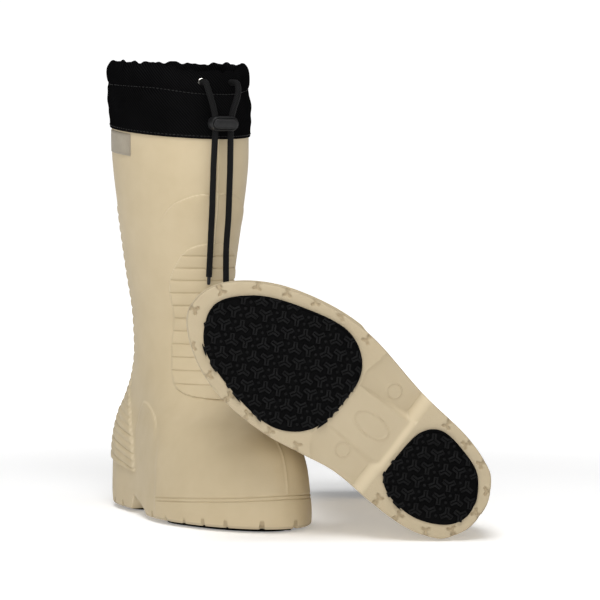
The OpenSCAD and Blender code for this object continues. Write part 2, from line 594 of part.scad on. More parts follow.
// Label: a plain patch bent round the shaft, under the collar on the outer side.
label_turn = 65;            // its rear edge, from the back of the boot
label_gap = 0.3;
label_drop = 1.5;           // its top, below the collar
module label() {
    top = leg_h - collar_lap - label_drop;
    rows = [for (z = [top - label_h, top - label_h / 2, top]) z];
    angles = [for (k = [0:5]) label_turn + label_arc * k / 5];
    n = len(angles);
    face = function (out) [for (h = rows, a = angles)
        skin(h, (1 - cos(a)) / 2, -1, -out)];
    back = face(label_gap);
    front = face(label_gap + label_t);
    m = len(back);
    rim = concat([for (i = [0:n - 1]) i], [for (j = [1:2]) j * n + n - 1],
                 [for (i = [n - 2:-1:0]) 2 * n + i], [n]);
    color(patch_grey) polyhedron(points = concat(back, front), faces = concat(
        [for (j = [0:1], i = [0:n - 2], t = [0, 1]) let (a = j * n + i)
            t == 0 ? [a, a + 1, a + n + 1] : [a, a + n + 1, a + n]],
        [for (j = [0:1], i = [0:n - 2], t = [0, 1]) let (a = m + j * n + i)
            t == 0 ? [a + n + 1, a + 1, a] : [a + n, a + n + 1, a]],
        [for (k = [0:len(rim) - 1], t = [0, 1]) let (a = rim[k], b = rim[(k + 1) % len(rim)])
            t == 0 ? [a, a + m, b] : [b, a + m, b + m]]));
}

// Poses of the two boots. The lying one is lowered until its sole or collar meets the ground.
function lying_rise(p) = p[0] * sin(lean) - p[1] * cos(lean);
lying_low = min(concat(
    [for (level = outer_levels, p = outer_ring(level)) lying_rise(p)],
    [for (a = [0:7.5:360], s = collar_section) lying_rise(sleeve(a, s[0], s[1]))]));
module standing() {
    rotate([0, 0, heading - 90]) translate([-fore_x, 0, 0]) children();
}
module on_lying_ground() {
    translate([lying_x, lying_y, 0]) children();
}
module lying() {
    on_lying_ground() translate([0, 0, -lying_low]) rotate([-90, 180 + lean, 0]) mirror([0, 1, 0]) children();
}
function lying_point(p) = [-p[0] * cos(lean) - p[1] * sin(lean), p[2], lying_rise(p) - lying_low];

module right_body() { standing() body(); }
module right_forefoot_tread() { standing() tread(true); }
module right_heel_tread() { standing() tread(false); }
module right_liner() { standing() liner(); }
module right_insole() { standing() insole(); }
module right_collar() { standing() collar(); }
module right_hem_cord() { standing() hem_cord(); }
module right_outer_cord() { standing() free_cord(hem_end(-1), right_outer_route, [0, 1, 0], eyelet_dir(-1)); }
module right_inner_cord() { standing() free_cord(hem_end(1), right_inner_route, [0, 1, 0], eyelet_dir(1)); }
module right_eyelets() { standing() eyelets(); }
module right_cord_tips() { standing() { cord_tip(right_outer_route); cord_tip(right_inner_route); } }
module right_lock_body() { standing() on_right_cords() lock_body(); }
module right_lock_button() { standing() on_right_cords() lock_button(); }
module right_lock_spring() { standing() on_right_cords() lock_spring(); }
module right_label() { standing() label(); }
module left_body() { lying() body(); }
module left_forefoot_tread() { lying() tread(true); }
module left_heel_tread() { lying() tread(false); }
module left_liner() { lying() liner(); }
module left_insole() { lying() insole(); }
module left_collar() { lying() collar(); }
module left_hem_cord() { lying() hem_cord(); }
module left_outer_cord() { on_lying_ground() left_cord(-1, left_outer_route); }
module left_inner_cord() { on_lying_ground() left_cord(1, left_inner_route); }
module left_cord(s, route) {
    start = lying_point(hem_end(s));
    free_cord(start, route, [0, 1, 0], unit(lying_point(hem_end(s) + eyelet_dir(s)) - start));
}
module left_eyelets() { lying() eyelets(); }
module left_cord_tips() { on_lying_ground() { cord_tip(left_outer_route); cord_tip(left_inner_route); } }
module left_lock_body() { on_lying_ground() on_left_cords() lock_body(); }
module left_lock_button() { on_lying_ground() on_left_cords() lock_button(); }
module left_lock_spring() { on_lying_ground() on_left_cords() lock_spring(); }
module left_label() { lying() label(); }

right_body();
right_forefoot_tread();
right_heel_tread();
right_liner();
right_insole();
right_collar();
right_hem_cord();
right_outer_cord();
right_inner_cord();
right_eyelets();
right_cord_tips();
right_lock_body();
right_lock_button();
right_lock_spring();
right_label();
left_body();
left_forefoot_tread();
left_heel_tread();
left_liner();
left_insole();
left_collar();
left_hem_cord();
left_outer_cord();
left_inner_cord();
left_eyelets();
left_cord_tips();
left_lock_body();
left_lock_button();
left_lock_spring();
left_label();
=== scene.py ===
"""Looks of a pair of moulded foam boots with drawcord collars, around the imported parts.

Each boot has one BootShape, with sizes in mm in the boot's own frame (x from heel to toe, y to the wearer's
left, z up), and a Stance that carries it into the frame of the pair, in metres.
"""
import logging
import math
from dataclasses import dataclass, field
from enum import Enum
from typing import Any, Sequence

import bpy
import numpy as np
from mathutils import Matrix, Vector


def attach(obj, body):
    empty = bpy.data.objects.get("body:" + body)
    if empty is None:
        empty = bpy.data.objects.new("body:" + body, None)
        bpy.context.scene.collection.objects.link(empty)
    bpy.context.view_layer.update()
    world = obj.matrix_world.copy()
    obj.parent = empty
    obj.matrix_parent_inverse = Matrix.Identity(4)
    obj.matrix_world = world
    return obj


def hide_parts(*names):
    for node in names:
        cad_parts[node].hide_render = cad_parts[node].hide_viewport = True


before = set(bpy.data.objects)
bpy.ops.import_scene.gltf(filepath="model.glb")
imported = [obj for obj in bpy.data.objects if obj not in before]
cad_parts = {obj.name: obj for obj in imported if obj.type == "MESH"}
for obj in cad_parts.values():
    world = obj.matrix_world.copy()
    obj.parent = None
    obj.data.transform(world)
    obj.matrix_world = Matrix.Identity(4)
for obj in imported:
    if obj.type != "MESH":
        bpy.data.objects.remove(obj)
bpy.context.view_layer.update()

LOG = logging.getLogger("boots")
MM = 0.001
SEED = 7
Array = np.ndarray
Colour = tuple[float, float, float]
Pair = tuple[float, float]


def mix(a: Any, b: Any, t: Any) -> Any:
    """Value between a (t = 0) and b (t = 1)."""
    return a + (b - a) * t


def smooth(low: float, high: float, x: Any) -> Any:
    """Soft step from 0 at low to 1 at high."""
    t = np.clip((np.asarray(x, float) - low) / (high - low), 0.0, 1.0)
    return t * t * (3 - 2 * t)


def bell(x: Any, width: float) -> Any:
    """Soft hump: 1 where x is 0, a good third of that at the width."""
    return np.exp(-((x / width) ** 2))


def share_along(turn: Any) -> Any:
    """Share of the way from heel to toe at a turn round the boot."""
    return (1 - np.cos(turn)) / 2


def from_front(a: Any) -> Any:
    """Turn round the mouth, brought between -pi and pi."""
    return (a + math.pi) % (2 * math.pi) - math.pi


def circle(count: int) -> Array:
    """Evenly spaced turns of a full circle."""
    return np.linspace(0, 2 * math.pi, count + 1)[:-1]


def unit(vectors: Array) -> Array:
    """Vectors with the same directions and length 1."""
    return vectors / np.linalg.norm(vectors, axis=-1, keepdims=True)


def run_along(points: Array) -> Array:
    """Length of a line of points up to each of them."""
    return np.concatenate([[0], np.cumsum(np.linalg.norm(np.diff(points, axis=0), axis=1))])


def bend_through(before: Array, start: Array, end: Array, after: Array, t: Array) -> Array:
    """Catmull-Rom curve from start (t = 0) to end (t = 1), which knows the points before and after."""
    return 0.5 * (2 * start + (end - before) * t + (2 * before - 5 * start + 4 * end - after) * t ** 2
                  + (3 * start - before - 3 * end + after) * t ** 3)


def along(table: Array, col: int, x: Any) -> Array:
    """Smooth curve through the rows of a table whose first column is the place along it.

    Args:
        table: Rows of numbers, first column rising.
        col: Column to read.
        x: Places along the table.
    Returns:
        The column's value at each place.
    """
    x = np.asarray(x, float)
    place, value = table[:, 0], table[:, col]
    last = len(place) - 1
    before = np.maximum(np.arange(last + 1) - 1, 0)
    after = np.minimum(np.arange(last + 1) + 1, last)
    slope = (value[after] - value[before]) / (place[after] - place[before])
    i = np.clip(np.searchsorted(place, x, side="right") - 1, 0, last - 1)
    d = place[i + 1] - place[i]
    t = np.clip((x - place[i]) / d, 0.0, 1.0)
    u = 1 - t
    return (value[i] * (1 + 2 * t) * u * u + slope[i] * d * t * u * u
            + value[i + 1] * (3 - 2 * t) * t * t - slope[i + 1] * d * t * t * u)


def over(rows: Sequence[Pair], x: Array) -> Array:
    """Straight lines through rows of place and value, read at x."""
    return np.interp(x, *np.array(rows, float).T)


def ripple(phase: Array, waves: Sequence[Pair], shifts: Sequence[float]) -> Array:
    """Sum of sine waves, each with its count per turn and its height, over a phase in radians."""
    return sum(height * np.sin(count * phase + shift) for (count, height), shift in zip(waves, shifts))


class Stance(Enum):
    """How a boot is set down in the pair."""

    STANDING = "right"
    LYING = "left"

    def node(self, piece: str) -> str:
        """Name of this boot's piece, node or body."""
        return f"{self.value}_{piece}"

    def carry(self, points: Array) -> Array:
        """Takes points from the boot's frame, in mm, to the pair's frame, in metres."""
        x, y, z = np.moveaxis(np.asarray(points, float), -1, 0)
        if self is Stance.STANDING:
            a = math.radians(SIZES.heading - 90)
            x = x - SIZES.fore_x
            placed = [x * math.cos(a) - y * math.sin(a), x * math.sin(a) + y * math.cos(a), z]
        else:
            c, s = math.cos(math.radians(SIZES.lean)), math.sin(math.radians(SIZES.lean))
            y = y * (1 - SIZES.shaft_sag * smooth(*SIZES.sag_z, z) * smooth(*SIZES.sag_y, np.abs(y)))
            placed = [SIZES.lying_x - x * c - y * s, SIZES.lying_y + z, x * s - y * c + SIZES.lying_rise]
        return np.stack(placed, axis=-1) * MM

    def on_ground(self, points: Array) -> Array:
        """Takes cord points to the pair's frame: the lying boot's are given from its heel on the ground."""
        if self is Stance.STANDING:
            return self.carry(points)
        return (np.asarray(points, float) + np.array([SIZES.lying_x, SIZES.lying_y, 0.0])) * MM


@dataclass
class BootShape:
    """Sizes and skin of one boot, in mm."""

    sole_len: float = 285.0
    outer: tuple[float, ...] = (52.0, 52.0, 63.5, 66.0)
    inner: tuple[float, ...] = (50.0, 41.5, 51.5, 56.0)
    ground_z: float = 3.0
    floor_z: float = 22.0
    toe_h: float = 80.0
    ankle_z: float = 153.0
    ankle_w: float = 71.0
    ankle_d: float = 116.0
    leg_h: float = 338.0
    rim_drop: float = 16.0
    mouth_w: float = 110.0
    mouth_d: float = 150.0
    mouth_shift: float = 1.5
    wall: float = 8.0
    heading: float = 24.5
    lean: float = 37.5
    lying_x: float = 184.0
    lying_y: float = -142.0
    lying_rise: float = 17.978
    shaft_sag: float = 0.12
    sag_z: Pair = (100.0, 230.0)
    sag_y: Pair = (20.0, 40.0)
    profile: Array = field(init=False)
    outer_edge: Array = field(init=False)
    inner_edge: Array = field(init=False)

    def __post_init__(self) -> None:
        """Works out the section tables from the sizes.

        A row of the profile holds a section's height, back, front, fullness of the foot, half-width of the
        leg, and how far it is the leg's oval. A row of an edge holds a share of the length and a half-width.
        """
        self.fore_x = 0.7 * self.sole_len
        leg_x = 0.295 * self.sole_len
        front, back = leg_x + self.ankle_d / 2, leg_x - self.ankle_d / 2
        self.mouth_back = leg_x - self.mouth_shift - self.mouth_d / 2
        toe_h, mouth_front = self.toe_h, self.mouth_back + self.mouth_d

        def toe(t: float) -> float:
            """Front of a section between ankle and toe."""
            return mix(front, self.sole_len, t)

        def half(t: float) -> float:
            """Half-width of the leg between ankle and mouth."""
            return mix(self.ankle_w, self.mouth_w, t) / 2

        def leg(rise: float, b: float, f: float, w: float) -> list[float]:
            """Row of a leg section at shares of the way up, back, front and width."""
            return [mix(self.ankle_z, self.leg_h, rise), mix(back, self.mouth_back, b),
                    mix(front, mouth_front, f), 0.70, half(w), 1]

        self.profile = np.array([
            [self.ground_z, 1.5, toe(0.996), 1.00, half(0.10), 0],
            [15, 0, toe(1.000), 1.00, half(0.10), 0],
            [30, -1, toe(0.989), 0.98, half(0.10), 0],
            [0.62 * toe_h, -1, toe(0.963), 0.95, half(0.10), 0],
            [0.82 * toe_h, 0, toe(0.905), 0.91, half(0.10), 0.06],
            [toe_h, 3, toe(0.766), 0.86, half(0.10), 0.20],
            [toe_h + 10, 7, toe(0.582), 0.80, half(0.12), 0.42],
            [toe_h + 22, 12.5, toe(0.385), 0.75, half(0.12), 0.65],
            [toe_h + 37, 20, toe(0.209), 0.72, half(0.10), 0.87],
            [toe_h + 54, back - 1, toe(0.084), 0.70, half(0.03), 1],
            leg(0, 0, 0, 0), leg(0.12, 0.08, 0.08, 0.08), leg(0.30, 0.355, 0.30, 0.355),
            leg(0.55, 0.69, 0.66, 0.69), leg(0.80, 0.97, 0.97, 0.97), leg(1, 1, 1, 1)])
        heel, waist, ball, toe_w = self.outer
        self.outer_edge = np.array([[0, 0.95 * heel], [0.15, heel], [0.32, waist], [0.58, ball],
                                    [0.8, toe_w], [1, toe_w]])
        heel, waist, ball, toe_w = self.inner
        self.inner_edge = np.array([[0, 0.97 * heel], [0.13, heel], [0.28, mix(heel, waist, 0.6)],
                                    [0.4, waist], [0.5, mix(waist, ball, 0.37)], [0.62, ball],
                                    [0.8, toe_w], [0.9, 0.95 * toe_w], [1, 0.79 * toe_w]])

    def skin(self, h: Any, turn: Any, inset: Any = 0.0) -> Array:
        """Points of the boot's skin.

        Args:
            h: Heights.
            turn: Angles round the boot, 0 at the back, rising over the outer side to pi at the front.
            inset: Distances inside the skin.
        Returns:
            Points, one for each height and turn.
        """
        h, turn, inset = np.broadcast_arrays(*(np.asarray(value, float) for value in (h, turn, inset)))
        share, side = share_along(turn), np.where(np.sin(turn) >= 0, -1.0, 1.0)
        oval = along(self.profile, 5, h)
        edge = np.where(side < 0, along(self.outer_edge, 1, share), along(self.inner_edge, 1, share))
        half = mix(edge * along(self.profile, 3, h), along(self.profile, 4, h), oval) - inset
        fullness = np.where(side < 0, 1.0, 0.75)
        heel = mix(0.68, 0.5, smooth(0.0, 0.055, share))
        bulge = mix(mix(heel, fullness, smooth(0.25, 0.75, share)), 1.0, oval)
        lean = (along(self.profile, 2, h + 1) - along(self.profile, 2, h - 1)) / 2
        steep = np.minimum(3.0, np.hypot(1.0, lean))
        tilt = self.rim_drop * smooth(self.ankle_z + 20, self.leg_h, h)
        return np.stack([
            mix(along(self.profile, 1, h) + inset, along(self.profile, 2, h) - inset * steep, share),
            side * half * np.abs(np.sin(turn)) ** bulge,
            h + tilt * (0.5 - share)], axis=-1)

    def even_turns(self, count: int, shin: float = 0.0) -> Array:
        """Turns that space a ring's points evenly on foot and leg alike.

        Args:
            count: Number of points, an even number.
            shin: Extra share of points near the front of the leg.
        Returns:
            The turns, rising from 0 at the heel.
        """
        fine = np.linspace(0, math.pi, 4001)
        weight = np.zeros(len(fine) - 1)
        for side in (1.0, -1.0):
            for h in (30.0, 250.0):
                step = np.linalg.norm(np.diff(self.skin(h, side * fine), axis=0), axis=1)
                weight += step / step.sum()
        weight += shin * 4 * bell(fine[1:] - math.pi, 0.9) / len(weight)
        total = np.concatenate([[0], np.cumsum(weight)])
        half = np.interp(np.linspace(0, 1, count // 2 + 1), total / total[-1], fine)
        return np.concatenate([half, 2 * math.pi - half[-2:0:-1]])

    def sleeve(self, a: Any, z: Any, out: Any) -> Array:
        """Points of the collar: turn in radians (0 at the front), height over the rim, distance out."""
        a, z, out = np.broadcast_arrays(*(np.asarray(value, float) for value in (a, z, out)))
        rise = smooth(0, COLLAR.height, z)
        front = 1 - smooth(math.radians(10), math.radians(60), np.abs(from_front(a)))
        return np.stack([
            self.mouth_back + self.mouth_d / 2 + (self.mouth_d / 2 + out) * np.cos(a) - COLLAR.rake * rise,
            (self.mouth_w / 2 + out) * np.sin(a),
            self.leg_h - self.rim_drop * np.cos(a) * (0.5 - 0.28 * rise) + z
            - COLLAR.front_dip * rise * front], axis=-1)


@dataclass(frozen=True)
class CollarSizes:
    """Sizes of the woven collar, in mm."""

    height: float = 49.0
    lap: float = 10.0
    hem: float = 20.0
    front_dip: float = 6.0
    rake: float = 4.5
    cloth: float = 0.9
    hem_out: float = 1.3
    hem_room: float = 2.6
    cord_d: float = 5.2
    eyelet_gap: float = 25.4

    @property
    def seam_z(self) -> float:
        """Height of the tunnel's seam over the rim."""
        return self.height - self.hem

    @property
    def eyelet_z(self) -> float:
        """Height of the eyelets over the rim."""
        return self.height - self.hem / 2

    @property
    def eyelet_turn(self) -> float:
        """Turn of an eyelet from the front, in radians."""
        return math.asin(self.eyelet_gap / 2 / (SIZES.mouth_w / 2 + self.hem_out))


SIZES = BootShape()
COLLAR = CollarSizes()


class Tone:
    """A shader socket whose operators add Math nodes."""

    def __init__(self, finish: "Finish", socket: bpy.types.NodeSocket) -> None:
        """Wraps one output socket."""
        self.finish, self.socket = finish, socket

    def _math(self, operation: str, a: Any, b: Any = 0.0) -> "Tone":
        """Math node on two values or sockets."""
        return self.finish.tone("ShaderNodeMath", {"operation": operation}, {0: a, 1: b})

    def __add__(self, other: Any) -> "Tone":
        """Sum."""
        return self._math("ADD", self, other)

    def __sub__(self, other: Any) -> "Tone":
        """Difference."""
        return self._math("SUBTRACT", self, other)

    def __rsub__(self, other: Any) -> "Tone":
        """Reflected difference."""
        return self._math("SUBTRACT", other, self)

    def __mul__(self, other: Any) -> "Tone":
        """Product."""
        return self._math("MULTIPLY", self, other)

    def __pow__(self, exponent: float) -> "Tone":
        """This value to a power."""
        return self._math("POWER", self, exponent)

    __radd__ = __add__
    __rmul__ = __mul__

    def wave(self, length: float) -> "Tone":
        """Sine wave from 0 to 1 over this value, with its wavelength."""
        return self._math("SINE", self * (2 * math.pi / length)) * 0.5 + 0.5

    def larger(self, other: Any) -> "Tone":
        """Larger of two values."""
        return self._math("MAXIMUM", self, other)

    def step(self, low: float, high: float) -> "Tone":
        """Soft step of this value from 0 at low to 1 at high."""
        settings = {"interpolation_type": "SMOOTHSTEP", "clamp": True}
        return self.finish.tone("ShaderNodeMapRange", settings, {0: self, 1: low, 2: high, 3: 0.0, 4: 1.0})


class Nodes:
    """A node tree with one way to add a node."""

    def __init__(self, tree: bpy.types.NodeTree) -> None:
        """Takes the tree that the nodes go into."""
        self.tree = tree

    def node(self, kind: str, settings: dict[str, Any] | None = None,
             inputs: dict[Any, Any] | None = None) -> bpy.types.Node:
        """Adds one node.

        Args:
            kind: Type of the node.
            settings: Properties set first.
            inputs: Values, Tones or sockets of its inputs, by name or place.
        Returns:
            The node.
        """
        made = self.tree.nodes.new(kind)
        for key, value in (settings or {}).items():
            setattr(made, key, value)
        for key, value in (inputs or {}).items():
            value = value.socket if isinstance(value, Tone) else value
            if isinstance(value, bpy.types.NodeSocket):
                self.tree.links.new(value, made.inputs[key])
            else:
                made.inputs[key].default_value = value
        return made


class Finish(Nodes):
    """A procedural material on one Principled shader."""

    def __init__(self, name: str, **constants: Any) -> None:
        """Makes the material.

        Args:
            name: Name of the material.
            constants: Principled inputs that are the same all over, with _ for a space.
        """
        self.material = bpy.data.materials.new(name)
        self.material.use_nodes = True
        super().__init__(self.material.node_tree)
        self.shader = next(n for n in self.tree.nodes if n.type == "BSDF_PRINCIPLED")
        for key, value in constants.items():
            self.shader.inputs[key.replace("_", " ")].default_value = value

    def tone(self, kind: str, settings: dict[str, Any], inputs: dict[Any, Any], out: Any = 0) -> Tone:
        """Adds one node and returns one of its outputs."""
        return Tone(self, self.node(kind, settings, inputs).outputs[out])

    def place(self) -> Tone:
        """Object coordinates, in metres."""
        return self.tone("ShaderNodeTexCoord", {}, {}, "Object")

    def cloth_place(self) -> list[Tone]:
        """The piece's own UV map, in mm: across and along."""
        return self.split(self.tone("ShaderNodeUVMap", {"uv_map": "UVMap"}, {}, "UV"))[:2]

    def split(self, vector: Tone) -> list[Tone]:
        """The three numbers of a vector."""
        return [Tone(self, out) for out in self.node("ShaderNodeSeparateXYZ", {}, {0: vector}).outputs]

    def mark(self, name: str) -> Tone:
        """A number stored on the mesh's points."""
        return self.tone("ShaderNodeAttribute", {"attribute_name": name}, {}, "Fac")

    def noise(self, scale: float, detail: float = 2.0, roughness: float = 0.5) -> Tone:
        """Noise from 0 to 1 with features of about one over scale metres."""
        return self.tone("ShaderNodeTexNoise", {}, {"Vector": self.place(), "Scale": scale, "Detail": detail,
                                                    "Roughness": roughness})

    def colours(self, factor: Tone, stops: Sequence[tuple[float, Colour]]) -> Tone:
        """Colour ramp over a factor."""
        made = self.node("ShaderNodeValToRGB", {}, {0: factor})
        ramp = made.color_ramp
        while len(ramp.elements) < len(stops):
            ramp.elements.new(0.5)
        for element, (place, colour) in zip(ramp.elements, stops):
            element.position, element.color = place, (*colour, 1.0)
        return Tone(self, made.outputs[0])

    def blend(self, factor: Tone, below: Tone, above: Colour) -> Tone:
        """Colour laid over another by a factor."""
        return self.tone("ShaderNodeMix", {"data_type": "RGBA"}, {0: factor, 6: below, 7: (*above, 1.0)}, 2)

    def feed(self, socket: str, value: Tone) -> None:
        """Links a Tone to an input of the shader."""
        self.tree.links.new(value.socket, self.shader.inputs[socket])

    def relief(self, height: Tone, depth: float, strength: float) -> None:
        """Bump from a height of 0 to 1, whose full depth is given in metres."""
        inputs = {"Strength": strength, "Distance": depth, "Height": height}
        self.feed("Normal", self.tone("ShaderNodeBump", {}, inputs))


class Finishes:
    """All materials of the pair, named for what they cover."""

    def __init__(self) -> None:
        """Makes each finish once."""
        self.foam = self.moulded_foam()
        self.twill = self.woven_twill()
        self.braid = self.braided_cord()
        # The groove colour of the rubber is painted shade in the lugs' slots and at their roots.
        rubber = {"mottle": (260.0, 4.0, 0.6), "rough": (0.58, 0.2, 420.0), "bump": (0.00018, 0.5, 1900.0),
                  "groove": (0.0012, 0.0012, 0.0013), "Specular_IOR_Level": 0.04}
        self.pad = self.mottled("tread_base_rubber", [(0.35, (0.0014, 0.0014, 0.0015)),
                                                      (0.7, (0.0024, 0.0024, 0.0025))], **rubber)
        self.lug = self.mottled("tread_lug_rubber", [(0.35, (0.0062, 0.0062, 0.0063)),
                                                     (0.7, (0.0105, 0.0105, 0.0107))], **rubber)
        felt = {"mottle": (700.0, 5.0, 0.7), "rough": (0.85, 0.1, 300.0),
                "bump": (0.0006, 0.7, 700.0, 5.0, 0.7), "Sheen_Weight": 0.35, "Sheen_Roughness": 0.6,
                "Specular_IOR_Level": 0.2}
        self.felt = self.mottled("liner_felt_grey", [(0.35, (0.030, 0.029, 0.028)),
                                                     (0.7, (0.072, 0.0696, 0.0672))], **felt)
        self.footbed = self.mottled("footbed_felt", [(0.35, (0.022, 0.021, 0.020)),
                                                     (0.7, (0.0528, 0.0504, 0.048))], **felt)
        self.thread = self.mottled(
            "sewing_thread", [(0.3, (0.007, 0.007, 0.007)), (0.7, (0.026, 0.026, 0.025))],
            mottle=(900.0,), rough=(0.5, 0.2, 1200.0), Specular_IOR_Level=0.2)
        self.metal = self.mottled(
            "nickel_eyelet", [(0.35, (0.42, 0.40, 0.36)), (0.65, (0.80, 0.76, 0.69))],
            mottle=(500.0, 3.0), rough=(0.18, 0.2, 800.0), Metallic=1.0)
        self.wire = self.mottled(
            "spring_wire", [(0.3, (0.45, 0.45, 0.46)), (0.7, (0.68, 0.68, 0.69))],
            mottle=(900.0,), rough=(0.25, 0.15, 1500.0), Metallic=1.0)
        self.plastic = self.mottled(
            "black_plastic", [(0.3, (0.0045, 0.0045, 0.0048)), (0.7, (0.009, 0.009, 0.0095))],
            mottle=(300.0, 3.0), rough=(0.42, 0.14, 700.0), bump=(0.00008, 0.5, 3200.0, 1.0),
            Specular_IOR_Level=0.3)
        self.patch = self.mottled(
            "grey_patch", [(0.3, (0.285, 0.248, 0.188)), (0.7, (0.335, 0.292, 0.222))],
            mottle=(120.0, 3.0), rough=(0.5, 0.15, 500.0), bump=(0.00008, 0.5, 2000.0),
            groove=(0.18, 0.155, 0.115), Specular_IOR_Level=0.4)

    @staticmethod
    def mottled(name: str, stops: Sequence[tuple[float, Colour]], mottle: Sequence[float],
                rough: tuple[float, float, float], bump: Sequence[float] = (), groove: Colour | None = None,
                **constants: Any) -> bpy.types.Material:
        """Finish of two colours that noise mixes.

        Args:
            name: Name of the material.
            stops: Places and colours on the ramp.
            mottle: Scale, detail and roughness of the noise between the colours.
            rough: Least roughness, how much noise adds to it, and that noise's scale.
            bump: Depth and strength of a fine bump, and the scale, detail and roughness of its noise.
            groove: Colour of the grooves that are marked on the mesh; on the lugs it is painted shade.
            constants: Principled inputs that are the same all over.
        Returns:
            The material.
        """
        f = Finish(name, **constants)
        face = f.colours(f.noise(*mottle), stops)
        f.feed("Base Color", f.blend(f.mark("groove"), face, groove) if groove else face)
        least, more, scale = rough
        f.feed("Roughness", least + more * f.noise(scale))
        if bump:
            depth, strength, *grain = bump
            f.relief(f.noise(*grain), depth, strength)
        return f.material

    @staticmethod
    def moulded_foam() -> bpy.types.Material:
        """Beige foam with mould grain, colour drift, a darker underside, painted highlights along raised
        edges and painted shade in grooves.
        """
        f = Finish("moulded_foam", Specular_IOR_Level=0.36)
        drift = f.noise(9.0, 3.0) * 0.6 + f.noise(55.0) * 0.4
        base = f.colours(drift, [(0.30, (0.478, 0.388, 0.244)), (0.52, (0.513, 0.421, 0.272)),
                                 (0.74, (0.543, 0.451, 0.300))])
        # The sole's underside is made darker.
        base = f.blend(f.mark("under") * 0.5, base, (0.34, 0.28, 0.19))
        # Painted highlight: paler colour along raised edges, rib ends and the arch's walls.
        base = f.blend(f.mark("rub") * 0.6, base, (0.70, 0.60, 0.42))
        # Painted shade: darker colour in grooves, creases, pits and notches.
        f.feed("Base Color", f.blend(f.mark("groove").step(0.0, 1.0) * 0.62, base, (0.27, 0.20, 0.11)))
        rough = f.mark("grain")
        f.feed("Roughness", 0.56 + 0.10 * f.noise(140.0) + 0.12 * rough)
        grain = f.noise(1500.0, 2.0, 0.6) * (0.25 + 0.75 * rough)
        peel = f.noise(620.0, 1.5) * (0.25 + 1.6 * rough)
        f.relief(grain + peel, 0.00026, 0.6)
        return f.material

    @staticmethod
    def woven_twill() -> bpy.types.Material:
        """Black nylon twill: diagonal ribs of about 2 mm crossed by fine threads."""
        f = Finish("black_twill", Specular_IOR_Level=0.0)
        across, length = f.cloth_place()
        rib = (across + length).wave(2.9)
        weave = rib * 0.72 + rib * (across - length).wave(0.95) * 0.28
        tone = weave * 0.75 + f.noise(28.0, 3.0) * 0.35
        f.feed("Base Color", f.colours(tone, [(0.15, (0.0010, 0.0010, 0.0011)),
                                              (0.55, (0.0032, 0.0032, 0.0034)),
                                              (0.95, (0.0085, 0.0085, 0.0090))]))
        f.feed("Roughness", 0.68 - 0.16 * rib)
        f.relief(weave + f.noise(1400.0) * 0.2, 0.00034, 0.75)
        return f.material

    @staticmethod
    def braided_cord() -> bpy.types.Material:
        """Black braided cord: two families of strands that cross."""
        f = Finish("black_braid", Sheen_Weight=0.01, Specular_IOR_Level=0.06)
        across, length = f.cloth_place()
        around, pitch = 1.73, 2.4
        slant = length * (around / pitch)
        braid = (across + slant).wave(around).larger((across - slant).wave(around))
        f.feed("Base Color", f.colours(braid, [(0.35, (0.0018, 0.0018, 0.0019)),
                                               (0.9, (0.0095, 0.0095, 0.0098))]))
        f.feed("Roughness", 0.72 - 0.14 * braid)
        f.relief(braid + f.noise(2500.0) * 0.15, 0.0003, 0.8)
        return f.material


def add_object(name: str, mesh: bpy.types.Mesh, sharp: float) -> bpy.types.Object:
    """Links a mesh to the scene as a piece with soft shading and sharp edges above an angle in degrees."""
    mesh.shade_smooth()
    mesh.set_sharp_from_angle(angle=math.radians(sharp))
    made = bpy.data.objects.new(name, mesh)
    bpy.context.scene.collection.objects.link(made)
    return made


